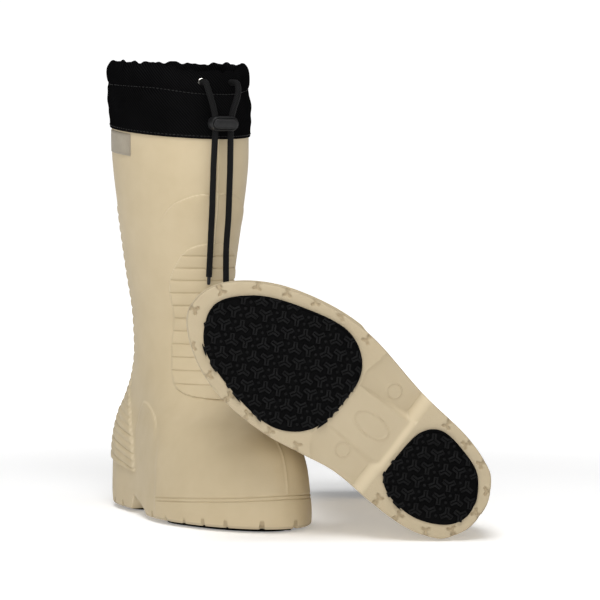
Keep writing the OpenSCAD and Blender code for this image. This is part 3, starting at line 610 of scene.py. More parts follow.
@dataclass
class Patchwork:
    """Points, faces and face-corner places of a mesh that is put together from grids."""

    points: list[Array] = field(default_factory=list)
    faces: list[Sequence[int]] = field(default_factory=list)
    corners: list[Sequence[Pair]] = field(default_factory=list)
    marks: dict[str, list[Array]] = field(default_factory=dict)
    count: int = 0

    def add_points(self, points: Array, **marks: Array) -> Array:
        """Adds points with numbers stored on them.

        Args:
            points: Points, any shape of rows.
            marks: Numbers for each point, by name.
        Returns:
            Their indices, in the same shape.
        """
        flat = np.asarray(points, float).reshape(-1, 3)
        index = np.arange(self.count, self.count + len(flat)).reshape(np.shape(points)[:-1])
        self.points.append(flat)
        for name in dict.fromkeys((*self.marks, *marks)):
            kept = self.marks.setdefault(name, [np.zeros(self.count)] if self.count else [])
            kept.append(np.broadcast_to(marks.get(name, 0.0), index.shape).ravel())
        self.count += len(flat)
        return index

    def add_face(self, index: Sequence[int], places: Sequence[Pair] | None = None) -> None:
        """Adds one face, without the corners that repeat, unless fewer than three are left."""
        face = [int(i) for i in index]
        keep = [n for n in range(len(face)) if face[n] not in face[:n]]
        if len(keep) > 2:
            self.faces.append([face[n] for n in keep])
            self.corners.append([(0.0, 0.0) if places is None else tuple(places[n]) for n in keep])

    def add_grid(self, index: Array, wrap: bool, places: Array | None = None) -> None:
        """Adds the quads of a grid of points.

        Args:
            index: Point indices, rows by columns. Where one repeats, the quad becomes a triangle.
            wrap: Whether the last column joins the first.
            places: UV of each corner, rows by columns (one column more when it wraps).
        """
        rows, cols = index.shape
        grid = index.tolist()
        quad = ((0, 0), (0, 1), (1, 1), (1, 0))
        for i in range(rows - 1):
            for j in range(cols if wrap else cols - 1):
                uv = None if places is None else [places[i + di, j + dj] for di, dj in quad]
                self.add_face([grid[i + di][(j + dj) % cols] for di, dj in quad], uv)

    def close_across(self, ring: Array) -> None:
        """Closes a ring of points by strips from side to side."""
        n = len(ring)
        for i in range(n // 2):
            self.add_face([ring[i], ring[(i + 1) % n], ring[(n - i - 1) % n], ring[(n - i) % n]])

    def add_loft(self, loops: Sequence[Array], places: Array | None = None, **marks: Array) -> None:
        """Adds a loft over loops of points, with a flat face at each end."""
        index = self.add_points(np.array(loops), **marks)
        self.add_grid(index, True, places)
        self.add_face(index[0][::-1])
        self.add_face(index[-1])

    def add_shell(self, loops: Sequence[Array]) -> None:
        """Adds rings of points as a closed shell, whose ends are closed from side to side."""
        index = self.add_points(np.array(loops))
        self.add_grid(index, True)
        self.close_across(index[-1])
        self.close_across(index[0][::-1])

    def make(self, name: str, stance: Stance | None, finish: bpy.types.Material, sharp: float = 40.0,
             outward: bool = True) -> bpy.types.Object:
        """Makes the object, with its place in its mesh.

        Args:
            name: Name of the piece.
            stance: Stance that carries points in mm, or None for points in metres of the pair's frame.
            finish: Material.
            sharp: Angle between faces above which an edge stays sharp, in degrees.
            outward: False turns the faces round.
        Returns:
            The object, linked to the scene.
        """
        points = np.concatenate(self.points)
        placed = points if stance is None else stance.carry(points)
        way = -1 if (stance is Stance.LYING) == outward else 1
        mesh = bpy.data.meshes.new(name)
        mesh.from_pydata(placed.tolist(), [], [face[::way] for face in self.faces])
        layer = mesh.uv_layers.new(name="UVMap")
        places = [uv for corner in self.corners for uv in corner[::way]]
        layer.data.foreach_set("uv", np.array(places, np.float32).ravel())
        for mark, values in self.marks.items():
            stored = mesh.attributes.new(mark, "FLOAT", "POINT")
            stored.data.foreach_set("value", np.concatenate(values).astype(np.float32))
        mesh.materials.append(finish)
        return add_object(name, mesh, sharp)


def ring_at(centre: Any, radius: float, u: Any, v: Any, count: int) -> Array:
    """Circle of points round a centre, in the plane of two vectors."""
    turn = circle(count)[:, None]
    return np.asarray(centre) + radius * (np.cos(turn) * np.asarray(u) + np.sin(turn) * np.asarray(v))


class Scatter(Nodes):
    """Geometry Nodes tree that sets one small shape on every point, turned as the point says."""

    def __init__(self, name: str) -> None:
        """Builds the tree with inputs for shape and finish."""
        super().__init__(bpy.data.node_groups.new(name, "GeometryNodeTree"))
        face = self.tree.interface
        face.new_socket(name="Points", in_out="INPUT", socket_type="NodeSocketGeometry")
        self.shape = face.new_socket(name="Shape", in_out="INPUT", socket_type="NodeSocketObject").identifier
        self.finish = face.new_socket(name="Finish", in_out="INPUT",
                                      socket_type="NodeSocketMaterial").identifier
        face.new_socket(name="Shapes", in_out="OUTPUT", socket_type="NodeSocketGeometry")
        given = self.node("NodeGroupInput").outputs
        facing = self.node("GeometryNodeInputNamedAttribute", {"data_type": "FLOAT_VECTOR"}, {0: "facing"})
        turned = self.node("FunctionNodeEulerToRotation", {}, {0: facing.outputs[0]})
        shape = self.node("GeometryNodeObjectInfo", {}, {0: given["Shape"]})
        placed = self.node("GeometryNodeInstanceOnPoints", {}, {
            "Points": given["Points"], "Instance": shape.outputs["Geometry"], "Rotation": turned.outputs[0]})
        real = self.node("GeometryNodeRealizeInstances", {}, {0: placed.outputs[0]})
        dressed = self.node("GeometryNodeSetMaterial", {}, {
            "Geometry": real.outputs[0], "Material": given["Finish"]})
        self.node("NodeGroupOutput", {}, {0: dressed.outputs[0]})

    def spread(self, name: str, points: Array, facing: Array, shape: bpy.types.Object,
               finish: bpy.types.Material) -> bpy.types.Mesh:
        """Sets the shape on every point.

        Args:
            name: Name of the mesh.
            points: Places of the shapes.
            facing: Turn of each shape, as Euler angles in radians.
            shape: Object with the small shape, at the origin.
            finish: Material.
        Returns:
            A plain mesh of all shapes.
        """
        cloud = bpy.data.meshes.new(name)
        cloud.from_pydata(np.asarray(points, float).tolist(), [], [])
        stored = cloud.attributes.new("facing", "FLOAT_VECTOR", "POINT")
        stored.data.foreach_set("vector", np.asarray(facing, np.float32).ravel())
        holder = bpy.data.objects.new(name, cloud)
        bpy.context.scene.collection.objects.link(holder)
        modifier = holder.modifiers.new("scatter", "NODES")
        modifier.node_group = self.tree
        modifier[self.shape], modifier[self.finish] = shape, finish
        bpy.context.view_layer.update()
        ready = holder.evaluated_get(bpy.context.evaluated_depsgraph_get())
        mesh = bpy.data.meshes.new_from_object(ready)
        mesh.name = name
        bpy.data.objects.remove(holder)
        bpy.data.meshes.remove(cloud)
        return mesh


@dataclass
class BootPart:
    """What one boot has, with the stance and the finishes that it is made with."""

    stance: Stance
    finishes: Finishes

    def declare(self, piece: bpy.types.Object, slot: str, *nodes: str,
                body: str = "boot") -> bpy.types.Object:
        """Rides a piece on a body of this boot, and reports it.

        Args:
            piece: The piece.
            slot: Name of its material slot; not used.
            nodes: This boot's nodes that the piece stands for.
            body: The body it rides on.
        Returns:
            The piece.
        """
        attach(piece, self.stance.node(body))
        if nodes:
            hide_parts(*(self.stance.node(node) for node in nodes))
        LOG.info("%s on %s: %d faces", piece.name, self.stance.node(body), len(piece.data.polygons))
        return piece

    def dress(self, node: str, finish: bpy.types.Material) -> None:
        """Gives a node of this boot a finish in place of its plain one."""
        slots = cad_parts[self.stance.node(node)].data.materials
        slots.clear()
        slots.append(finish)
        LOG.info("%s keeps its shape, in %s", self.stance.node(node), finish.name)


def nearest(points: Array, edge: Array) -> tuple[Array, Array]:
    """Distance of points to a closed outline, and the index of its nearest corner.

    Args:
        points: Points in the plane.
        edge: Corners of the outline, close together.
    Returns:
        Distances and indices.
    """
    far, who = np.empty(len(points)), np.empty(len(points), int)
    for start in range(0, len(points), 4000):
        some = slice(start, start + 4000)
        gap = ((points[some, None, :] - edge[None, :, :]) ** 2).sum(axis=2)
        who[some] = gap.argmin(axis=1)
        far[some] = np.sqrt(gap.min(axis=1))
    return far, who


def edge_of(mask: Array) -> Array:
    """Line along the edge of a mask: 1 where the mask is half way."""
    return 4 * mask * (1 - mask)


@dataclass(frozen=True)
class ReliefSizes:
    """How far each moulded form stands out of the foam or is cut into it, in mm."""

    shin: float = 1.15
    pillow: float = 0.35
    shin_cut: float = 0.75
    crown: float = 1.4
    forefoot: float = 1.5
    ankle: float = 1.3
    rib_base: float = 0.8
    calf_rib: float = 0.85
    heel_rib: float = 1.2
    line: float = 0.7
    parting: float = 0.12
    ring: float = 0.9
    pit: float = 1.5
    notch: float = 3.2


RELIEF = ReliefSizes()


@dataclass
class FoamBody(BootPart):
    """The moulded foam of one boot: the upper, and the sole block below the moulded line round the foot."""

    seam_toe: float = 30.3
    seam_fall: float = 18.0
    line_gap: float = 2.9
    low_end: float = 36.0
    points_round: int = 264
    sole_columns: int = 460
    sole_rows: int = 120
    edge_round: float = 1.6
    pit_arm: float = 2.9
    breast_x: float = 86.0
    breast_run: Pair = (10.5, 5.5)
    side_depth: Pair = (12.0, 7.5)
    panel_y: Pair = (-25.0, 13.0)
    panel_depth: float = 5.2
    shin_top: float = 222.8
    shin_pitch: float = 10.92
    shin_lines: int = 11
    shin_degree: float = 0.785
    heel_pitch: float = 6.3
    calf_pitch: float = 7.9
    # Strength of the painted shade in the creases and along the moulded lines.
    groove_shade: float = 0.32
    heel_slant: float = 0.17
    slant_x: float = 45.0
    pit_reach: float = 14.0
    pit_sway: float = 0.25

    SHIN = ((102.3, 0), (102.8, 20), (104, 33), (106, 39.7), (109.4, 44), (113.6, 45.4), (124, 44.6),
            (146, 39.5), (157, 36.2), (168, 35.5), (190, 38), (201, 37), (211.6, 32.7), (223, 26.8),
            (228.6, 21.4), (232, 15), (233.6, 8.3), (234, 0))
    CROWN = ((200, 46), (250, 43), (265, 34.4), (270, 29.8), (274.5, 22.8), (277.4, 17), (279, 9.8),
             (280, 0))
    RIB_ENDS = ((39, 71.7), (54, 68.8), (70, 64.5), (86, 58.7), (101, 51.5), (120, 50), (140, 54), (160, 56),
                (200, 57.5), (272, 59))
    ARCH_FRONT = ((-58, 139), (-50, 140), (-38, 143), (-28, 141), (-15, 141), (4, 144), (24, 147), (34, 144),
                  (46, 134))
    RINGS = (((114.0, -6.0), (15.6, 8.3)), ((115.0, -38.5), (5.8, 5.8)), ((120.0, 23.2), (5.8, 5.8)))
    PITS = ((280, 6), (272, -18), (252, -38), (230, -48), (208, -56), (185, -60), (158, -57), (264, 30),
            (240, 40), (217, 43), (197, 46), (175, 46), (151, 42), (66, -42), (45, -39), (26, -34), (9, -20),
            (6, -1), (13, 21), (29, 34), (53, 37), (74, 36))
    ANKLE_AT = (0.44, 76.0)
    ANKLE_REACH = (0.115, 19.5)
    CROWN_START = (246, 266)
    RIBS_START = (38.5, 40.0)
    RIBS_STOP = (262.0, 263.0)
    HEEL_STOP = (90, 130)
    LINE_START = (0.55, 0.62)
    FORE_START = (0.562, 0.590)
    FORE_STOP = (0.8, 0.99)
    FORE_TOP = (46, 86)
    ANKLE_START = (58, 80)
    PARTING_TOP = (58, 72)
    INSTEP_START = (92, 102)
    INSTEP_TOP = (108, 122)
    INSTEP_SIDE = (30, 48)
    SLANT_STOP = (0.30, 0.42)
    SLANT_START = (30, 48)
    SLANT_TOP = (95, 125)

    @staticmethod
    def inside(h: Array, arc: Array, table: Sequence[Pair], blur: float) -> Array:
        """Mask of a panel on the shin whose half-width (mm round the front) follows a table over height."""
        grid = np.arange(90.0, 300.0)
        lean = np.interp(h, grid, np.gradient(over(table, grid)))
        return smooth(-blur, blur, (over(table, h) - arc) / np.hypot(1.0, lean))

    def seam(self, turn: Array) -> Array:
        """Height of the moulded line between upper and sole, lower towards the heel."""
        return self.seam_toe - self.seam_fall * (1 - np.maximum(0.58, share_along(turn))) ** 0.8

    def forefoot(self, turn: Array) -> Array:
        """Mask of the fuller forefoot on the outer side, in front of its crease."""
        share = share_along(turn)
        along_side = smooth(*self.FORE_START, share) * (1 - smooth(*self.FORE_STOP, share))
        return along_side * (np.sin(turn) > 0)

    def rib_place(self, h: Array) -> Array:
        """Place within a rib of heel and calf, 0 to 1, the ribs being closer at the heel."""
        step = 0.5
        grid = np.arange(20.0, 300.0, step)
        pitch = mix(self.heel_pitch, self.calf_pitch, smooth(60, 130, grid))
        return np.interp(h, grid, np.cumsum(step / pitch)) % 1.0

    def relief(self, h: Array, turn: Array) -> tuple[Array, Array, Array, Array]:
        """Moulded relief of the upper.

        Args:
            h: Heights.
            turn: Turns round the boot.
        Returns:
            Distance out in mm, and the groove mark of painted shade, the grain mark and the mark of painted
            highlights.
        """
        share = share_along(turn)
        arc = np.degrees(np.abs(math.pi - turn)) * self.shin_degree
        shin = self.inside(h, arc, self.SHIN, 0.45)
        arched = self.inside(h, arc, self.CROWN, 0.5)
        crown = arched * smooth(*self.CROWN_START, h)
        step = np.clip((self.shin_top - h) / self.shin_pitch, -0.5, self.shin_lines - 0.5)
        off = np.abs(step - np.round(step)) * self.shin_pitch
        cut = bell(off, 0.55) * shin
        pillow = (1 - bell(off, 2.4)) * shin
        back = np.degrees(np.minimum(turn, 2 * math.pi - turn))
        limit = over(self.RIB_ENDS, h)
        start = smooth(*self.RIBS_START, h)
        ribbed = (1 - smooth(-0.8, 0.8, back - limit)) * (1 - smooth(*self.RIBS_STOP, h)) * start
        lip = np.abs(2 * self.rib_place(h) - 1)
        low = 1 - smooth(*self.HEEL_STOP, h)
        rib = RELIEF.rib_base * low + mix(RELIEF.calf_rib, RELIEF.heel_rib, low) * (1 - lip ** 2.6)
        fore = self.forefoot(turn) * (1 - smooth(*self.FORE_TOP, h))
        (at_share, at_h), (reach, rise) = self.ANKLE_AT, self.ANKLE_REACH
        dome = np.hypot((share - at_share) / reach, (h - at_h) / rise)
        ankle = (1 - smooth(0.93, 1.03, dome)) * smooth(*self.ANKLE_START, h)
        parting = bell(arc, 0.9) * (1 - smooth(*self.PARTING_TOP, h))
        line = bell(h - self.seam(turn), 0.6) * smooth(*self.LINE_START, share)
        out = (RELIEF.shin * shin + RELIEF.pillow * pillow - RELIEF.shin_cut * cut + RELIEF.crown * crown
               + RELIEF.forefoot * fore + RELIEF.ankle * ankle + ribbed * rib - RELIEF.line * line
               - RELIEF.parting * parting)
        # Painted shade: the groove mark darkens the shin's cut lines, the creases between ribs, the moulded
        # line and the parting.
        crease = np.maximum(cut, ribbed * smooth(0.86, 1.0, lip))
        groove = np.clip(self.groove_shade * crease + self.groove_shade * line + 0.1 * parting, 0, 1)
        instep = smooth(*self.INSTEP_START, h) * (1 - smooth(*self.INSTEP_TOP, h))
        instep = instep * (1 - smooth(*self.INSTEP_SIDE, arc))
        grain = np.clip(0.8 * crown * (1 - shin) + 0.9 * instep, 0, 1)
        # Painted highlight: paler colour along the top edges of the crown and the shin panel, the rib ends
        # and the ankle dome's edge.
        rub = np.maximum.reduce([edge_of(arched) * smooth(255, 268, h), edge_of(shin) * smooth(150, 225, h),
                                 bell(back - limit, 0.9) * low * start * (1 - lip ** 6),
                                 0.8 * bell(dome - 1.0, 0.05) * smooth(74, 84, h)])
        return out, groove, grain, rub

    def upper_levels(self) -> Array:
        """Heights of the rings above the foot's edge, closer together at the lines of the shin."""
        near = np.array([0.0, 0.3, 0.6, 1.0, *np.arange(1.7, 9.0, 0.8), 9.6, 10.1, 10.5])
        first = self.shin_top - self.shin_lines * self.shin_pitch
        shin = [first + k * self.shin_pitch + near for k in range(self.shin_lines + 1)]
        last = first + (self.shin_lines + 1) * self.shin_pitch
        foot = np.arange(self.low_end, first - 0.4, 0.85)
        top = np.linspace(282.5, SIZES.leg_h, 16)
        return np.concatenate([foot, *shin, np.arange(last, 282.0, 0.9), top])

    def build_upper(self) -> bpy.types.Object:
        """Upper from the moulded line to the rim, and down its inside."""
        turns = SIZES.even_turns(self.points_round, 0.9)
        rows = np.array([0.0, 0.03, 0.07, 0.13, 0.22, 0.36, 0.52, 0.68, 0.84])[:, None]
        levels = self.upper_levels()[:, None] + 0.0 * turns
        h = np.concatenate([mix(self.seam(turns), self.low_end, rows), levels])
        turn = np.broadcast_to(turns, h.shape)
        out, groove, grain, rub = self.relief(h, turn)
        points = SIZES.skin(h, turn, -out)
        slant = (1 - smooth(*self.SLANT_STOP, share_along(turn))) * (1 - smooth(*self.SLANT_TOP, h))
        slant = slant * smooth(*self.SLANT_START, h)
        points[..., 2] -= slant * self.heel_slant * (points[..., 0] - self.slant_x)
        work = Patchwork()
        outer = work.add_points(points, groove=groove, grain=grain, rub=rub)
        rim = [SIZES.skin(SIZES.leg_h, turns, inset) for inset in (1.5, 4.0, SIZES.wall - 1.0)]
        depth = [SIZES.leg_h - 1, 310, 260, 205, SIZES.ankle_z, 134, 117, 102, 90, 80, 66, 48, self.seam_toe]
        inner = [SIZES.skin(level, turns, SIZES.wall) for level in depth]
        within = work.add_points(np.array(rim + inner))
        work.add_grid(np.concatenate([outer, within, outer[:1]]), True)
        return work.make(self.stance.node("foam_upper"), self.stance, self.finishes.foam)

    def arch(self, x: Array, y: Array) -> tuple[Array, Array]:
        """Hollow in front of the heel: a middle panel with deeper panels on both sides.

        Args:
            x: Distances from the heel's back.
            y: Distances from the middle line.
        Returns:
            Its height, and the mark of its walls, where a painted highlight goes.
        """
        low, high = self.panel_y
        front = over(self.ARCH_FRONT, y)
        run = np.clip((front - x) / (front - self.breast_x - self.breast_run[0]), 0, 1)
        slope = 1.5 + 6.0 * run
        middle = smooth(0, 1, (y - low) / slope + 1) * smooth(0, 1, (high - y) / slope + 1)
        depth = mix(*self.side_depth, smooth(low, high, y))
        step = np.clip((x - self.breast_x) / mix(*self.breast_run, middle), 0, 1)
        side, panel = depth * np.minimum(step, run ** 0.65), self.panel_depth * np.minimum(step, run ** 0.9)
        # Painted highlight on the breast wall and on the middle panel's wall on the outer side.
        wall = np.maximum(edge_of(step), edge_of(middle) * run * (y < 0))
        inside = (x > self.breast_x) & (x < front)
        return np.where(inside, mix(side, panel, middle), 0.0), np.where(inside, wall, 0.0)

    @staticmethod
    def ring_mark(x: Array, y: Array, centre: Pair, radii: Pair) -> Array:
        """Raised line round an oval, 0 to 1."""
        r = np.hypot((x - centre[0]) / radii[0], (y - centre[1]) / radii[1])
        return bell((r - 1) * min(radii), 0.55)

    def pits(self, points: Array, edge: Array) -> Array:
        """Depth of the shallow three-armed prints along the sole's edge, each open to the side by a notch.

        Args:
            points: Points of the sole in the plane.
            edge: Outline of the sole, closed.
        Returns:
            Depths in mm.
        """
        depth = np.zeros(len(points))
        places = np.array(self.PITS, float)
        _, who = nearest(places, edge)
        for k, (place, out) in enumerate(zip(places, unit(edge[who] - places))):
            sway = self.pit_sway * math.sin(2.1 * k)
            c, s = math.cos(sway), math.sin(sway)
            out = np.array([out[0] * c - out[1] * s, out[0] * s + out[1] * c])
            near = np.flatnonzero(np.abs(points - place).max(axis=1) < self.pit_reach)
            v = (points[near] - place) @ out
            u = (points[near] - place) @ np.array([-out[1], out[0]])
            far = np.full(len(near), self.pit_reach)
            for angle in math.pi / 2 + circle(3):
                du, dv = math.cos(angle), math.sin(angle)
                run = np.clip(u * du + v * dv, 0, self.pit_arm)
                far = np.minimum(far, np.hypot(u - run * du, v - run * dv))
            notch = (1 - smooth(1.4, 2.6, np.abs(u))) * smooth(1.5, 4.5, v)
            found = np.maximum(RELIEF.pit * (1 - smooth(0.6, 1.7, far)), RELIEF.notch * notch)
            depth[near] = np.maximum(depth[near], found)
        return depth

    def underside(self, turns: Array, edge: Array) -> tuple[Array, Array, dict[str, Array]]:
        """Points of the sole's underside, from its outer to its inner edge.

        Args:
            turns: Turns round the outer side, from heel to toe.
            edge: Outline of the sole, closed.
        Returns:
            The points, the depth of the pits, and the marks.
        """
        even = np.linspace(0, 1, self.sole_rows + 1)
        across = mix(share_along(np.pi * even), even, 0.55)
        outer, inner = (SIZES.skin(SIZES.ground_z, side * turns)[:, None, :2] for side in (1, -1))
        flat = mix(outer, inner, across[None, :, None]).reshape(-1, 2)
        far, _ = nearest(flat, edge)
        far = np.where(far < 0.02, 0.0, far)
        x, y = flat.T
        r = self.edge_round
        height = r - np.sqrt(np.maximum(0.0, r * r - np.maximum(0.0, r - far) ** 2))
        arch, painted_wall_highlight = self.arch(x, y)
        pits = self.pits(flat, edge)
        rings = sum(self.ring_mark(x, y, centre, radii) for centre, radii in self.RINGS)
        grain = np.clip((1 - smooth(0.0, 0.6, arch)) * smooth(0.3, 2.0, far), 0, 1)
        # Painted shade in the pits; the raised rings are darker too.
        groove = np.clip(0.6 * pits / RELIEF.pit, 0, 0.6) + 0.22 * rings
        shape = (len(turns), len(even))
        # The arch's walls carry a painted highlight.
        marks = {"groove": groove, "grain": 0.9 * grain, "rub": 0.75 * painted_wall_highlight, "under": np.ones(len(flat))}
        points = np.column_stack([flat, SIZES.ground_z + height + arch + pits - RELIEF.ring * rings])
        return (points.reshape(*shape, 3), pits.reshape(shape),
                {name: mark.reshape(shape) for name, mark in marks.items()})

    def build_sole(self) -> bpy.types.Object:
        """Sole block: underside with arch, rings and pits, side wall, and the floor inside."""

        def border(grid: Array) -> Array:
            """Values of a grid round its edge, in the order of the ring."""
            return np.concatenate([grid[:, 0], grid[-2:0:-1, -1]])

        turns = np.pi * np.linspace(0, 1, self.sole_columns + 1)
        ring = np.concatenate([turns, 2 * np.pi - turns[-2:0:-1]])
        points, pits, marks = self.underside(turns, SIZES.skin(SIZES.ground_z, ring)[:, :2])
        work = Patchwork()
        index = work.add_points(points, **marks)
        index[0, :], index[-1, :] = index[0, 0], index[-1, 0]
        work.add_grid(index.T[::-1], False)
        notch = border(pits)
        start = border(points[..., 2]) - notch
        rise = np.concatenate([np.linspace(0.04, 0.74, 14), np.linspace(0.76, 1.0, 22)])[:, None]
        top = self.seam(ring)
        level = mix(SIZES.ground_z + self.edge_round, top, rise)
        turn = np.broadcast_to(ring, level.shape)
        below = top - level
        drawn = smooth(*self.LINE_START, share_along(turn))
        lines = (bell(below, 0.5) + bell(below - self.line_gap, 0.45)) * drawn
        fore = self.forefoot(turn) * smooth(4, 14, level)
        side = SIZES.skin(level, turn, RELIEF.line * lines - RELIEF.forefoot * fore)
        side[..., 2] = mix(start, top, rise) + notch * (1 - rise) ** 3
        # Painted shade in the notches and along the moulded lines on the side wall.
        painted_wall_shade = np.clip(notch / RELIEF.notch * (1 - smooth(0.08, 0.2, rise)) + self.groove_shade * lines, 0, 1)
        wall = work.add_points(side, groove=painted_wall_shade, grain=0.25 * (1 - np.clip(lines, 0, 1)))
        inside = work.add_points(np.array([SIZES.skin(z, ring, SIZES.wall)
                                           for z in (self.seam_toe, SIZES.floor_z)]))
        work.add_grid(np.concatenate([border(index)[None, :], wall, inside]), True)
        work.close_across(inside[-1])
        return work.make(self.stance.node("foam_sole"), self.stance, self.finishes.foam, sharp=38.0)

    def build(self) -> None:
        for piece in (self.build_upper(), self.build_sole()):
            self.declare(piece, "foam", "body")


@dataclass
class Treads(BootPart):
    """Rubber pads under heel and forefoot, with three-armed lugs and small studs between them."""

    scatter: Scatter
    lug_h: float = 1.8
    cell: Pair = (21.9, 12.96)
    shear: float = -0.65
    origin: Pair = (199.0, 8.5)
    arm: float = 5.4
    arm_w: float = 3.7
    slot_w: float = 0.9
    slot_end: float = 0.6
    slot_depth: float = 0.75
    stud_r: float = 1.2
    root: float = 0.3
    edge_points: int = 420
    rim_w: float = 1.7
    rim_z: float = 0.08
    bare: float = 0.6
    lug_margin: float = -1.0
    stud_margin: float = 2.0
    overhang: Pair = (-0.75, 0.8)

    PADS = {"forefoot": ((142, -6), (148, -38), (174, -54), (214, -47), (249, -32), (270.5, -6), (257, 25),
                         (216, 40), (176, 43), (150, 26)),
            "heel": ((9, -1), (23, -25.5), (47.5, -35), (68, -36), (80, -24), (83, 0), (82, 21), (66, 31),
                     (40, 31.5), (16, 19))}
    COLUMNS = (-11, 7)
    ROWS = (-8, 9)
    RIMS = {"forefoot": (-168.0, 12.0), "heel": (-178.0, 14.0)}
    LUGS = (((0.0, 0.0), 60.0), ((-9.1, 7.2), 0.0))
    STUDS = (((-15.5, 0.4), 0.0), ((-15.8, 6.8), 0.0))

    def outline(self, kind: str) -> tuple[Array, Array]:
        """Pad outline: a smooth loop through the pad's points, anticlockwise from the rear.

        Args:
            kind: "forefoot" or "heel".
        Returns:
            Corners of the loop, evenly spaced, and how far each has the raised rim, from 0 to 1.
        """
        here = np.array(self.PADS[kind], float)
        before, after, beyond = (np.roll(here, k, axis=0) for k in (1, -1, -2))
        t = np.linspace(0, 1, 120, endpoint=False)[:, None, None]
        loop = bend_through(before, here, after, beyond, t).transpose(1, 0, 2).reshape(-1, 2)
        loop = np.concatenate([loop, loop[:1]])
        turn = np.arctan2(*(loop - here.mean(axis=0)).T[::-1])
        run = run_along(loop)
        even = np.linspace(0, run[-1], self.edge_points + 1)[:-1]
        low, high = np.radians(self.RIMS[kind])
        rim = smooth(low, low + 0.12, turn) * (1 - smooth(high - 0.12, high, turn))
        return np.column_stack([np.interp(even, run, loop[:, k]) for k in (0, 1)]), np.interp(even, run, rim)

    @staticmethod
    def drawn_in(loop: Array, inset: Any) -> Array:
        """Closed loop, anticlockwise, moved inward by one distance or one for each corner."""
        way = unit(np.roll(loop, -1, axis=0) - np.roll(loop, 1, axis=0))
        return loop + np.reshape(inset, (-1, 1)) * np.column_stack([-way[:, 1], way[:, 0]])

    @staticmethod
    def is_inside(points: Array, edge: Array) -> Array:
        """Whether points lie within a closed outline."""
        x, y = points.T
        inside = np.zeros(len(points), bool)
        for (ax, ay), (bx, by) in zip(edge, np.roll(edge, -1, axis=0)):
            if ay != by:
                inside ^= ((ay > y) != (by > y)) & (x < (bx - ax) * (y - ay) / (by - ay) + ax)
        return inside

    @staticmethod
    def star(reach: float, half: float) -> Array:
        """Outline of three arms with a reach and a half-width."""
        corners = []
        for a in circle(3):
            way, across = np.array([math.cos(a), math.sin(a)]), np.array([-math.sin(a), math.cos(a)])
            between = np.array([math.cos(a + math.pi / 3), math.sin(a + math.pi / 3)])
            corners += [reach * way - half * across, reach * way + half * across,
                        half / math.sin(math.pi / 3) * between]
        return np.array(corners)

    def lug_shape(self) -> bpy.types.Object:
        """Three-armed lug with a groove along its arms, in metres, standing on z = 0 and pointing down."""
        ring = self.star(self.arm, self.arm_w / 2)
        slot = self.star(self.arm - self.slot_end, self.slot_w / 2)
        top = self.lug_h
        rows = ((ring, -self.root, 1.06, 1.0), (ring, top - 0.3, 1.0, 0.0), (ring, top, 0.95, 0.0),
                (slot, top, 1.0, 0.0), (slot, top - 0.1, 0.97, 1.0),
                (slot, top - self.slot_depth, 0.85, 1.0))
        loops = [np.column_stack([loop * grow, np.full(len(loop), -z)]) for loop, z, grow, _ in rows]
        work = Patchwork()
        # The groove mark paints shade on the slot's walls and floor and at the lug's root.
        work.add_loft(np.array(loops) * MM, groove=np.array([[mark] for *_, mark in rows]))
        return work.make("lug_shape", None, self.finishes.lug, sharp=30.0)

    def stud_shape(self) -> bpy.types.Object:
        """Small round stud, in metres, pointing down."""
        rows = ((-self.root, 1.1), (0.7, 1.0), (1.0, 0.8), (1.1, 0.4))
        loops = [ring_at((0, 0, -z), self.stud_r * grow, (1, 0, 0), (0, 1, 0), 12) for z, grow in rows]
        work = Patchwork()
        work.add_loft(np.array(loops) * MM, groove=0.0)
        return work.make("stud_shape", None, self.finishes.lug, sharp=30.0)

    def lattice(self, outline: Array, margin: float, offset: Pair) -> Array:
        """Lattice points of one kind of lug within an outline."""
        i, j = np.meshgrid(np.arange(*self.COLUMNS), np.arange(*self.ROWS), indexing="ij")
        x = self.origin[0] + i * self.cell[0] + offset[0]
        y = self.origin[1] + j * self.cell[1] + offset[1] + i * self.shear
        spots = np.column_stack([x.ravel(), y.ravel()])
        far, _ = nearest(spots, outline)
        return spots[np.where(self.is_inside(spots, outline), far, -far) > margin]

    def build_pad(self, kind: str) -> None:
        """One tread: the pad with its raised rim, and a second piece of all that stands on it."""
        node = f"{kind}_tread"
        outline, rim = self.outline(kind)
        centre = outline.mean(axis=0)
        low = self.lug_h
        crest, bare = mix(low, self.rim_z, rim), self.bare * (1 - rim)
        levels = [(SIZES.ground_z + 0.02, bare), (crest + 0.35, bare), (crest + 0.1, bare + 0.1),
                  (crest, bare + 0.4), (crest, bare + self.rim_w - 0.5),
                  (mix(crest, low, 0.3), bare + self.rim_w - 0.15), (low, bare + self.rim_w + 0.25)]
        rows = [np.column_stack([self.drawn_in(outline, inset), z + 0.0 * rim]) for z, inset in levels]
        rows += [np.column_stack([centre + (outline - centre) * grow, np.full(len(outline), low)])
                 for grow in (0.85, 0.7, 0.5, 0.3, 0.12)]
        work = Patchwork()
        work.add_loft(rows[::-1])
        pad = work.make(self.stance.node(f"{node}_pad"), self.stance, self.finishes.pad, sharp=35.0)
        self.declare(pad, "tread_rubber", node)
        meshes = []
        for shape, places, margin in ((self.lug_shape(), self.LUGS, self.lug_margin),
                                      (self.stud_shape(), self.STUDS, self.stud_margin)):
            for number, (offset, angle) in enumerate(places):
                spots = self.lattice(outline, margin, offset)
                points = np.column_stack([spots, np.full(len(spots), low)]) * MM
                facing = np.tile([0.0, 0.0, math.radians(angle)], (len(spots), 1))
                name = self.stance.node(f"{node}_{shape.name}_{number}")
                meshes.append(self.scatter.spread(name, points, facing, shape, self.finishes.lug))
            bpy.data.objects.remove(shape)
        self.join(self.stance.node(f"{node}_lugs"), meshes, self.drawn_in(outline, mix(*self.overhang, rim)))

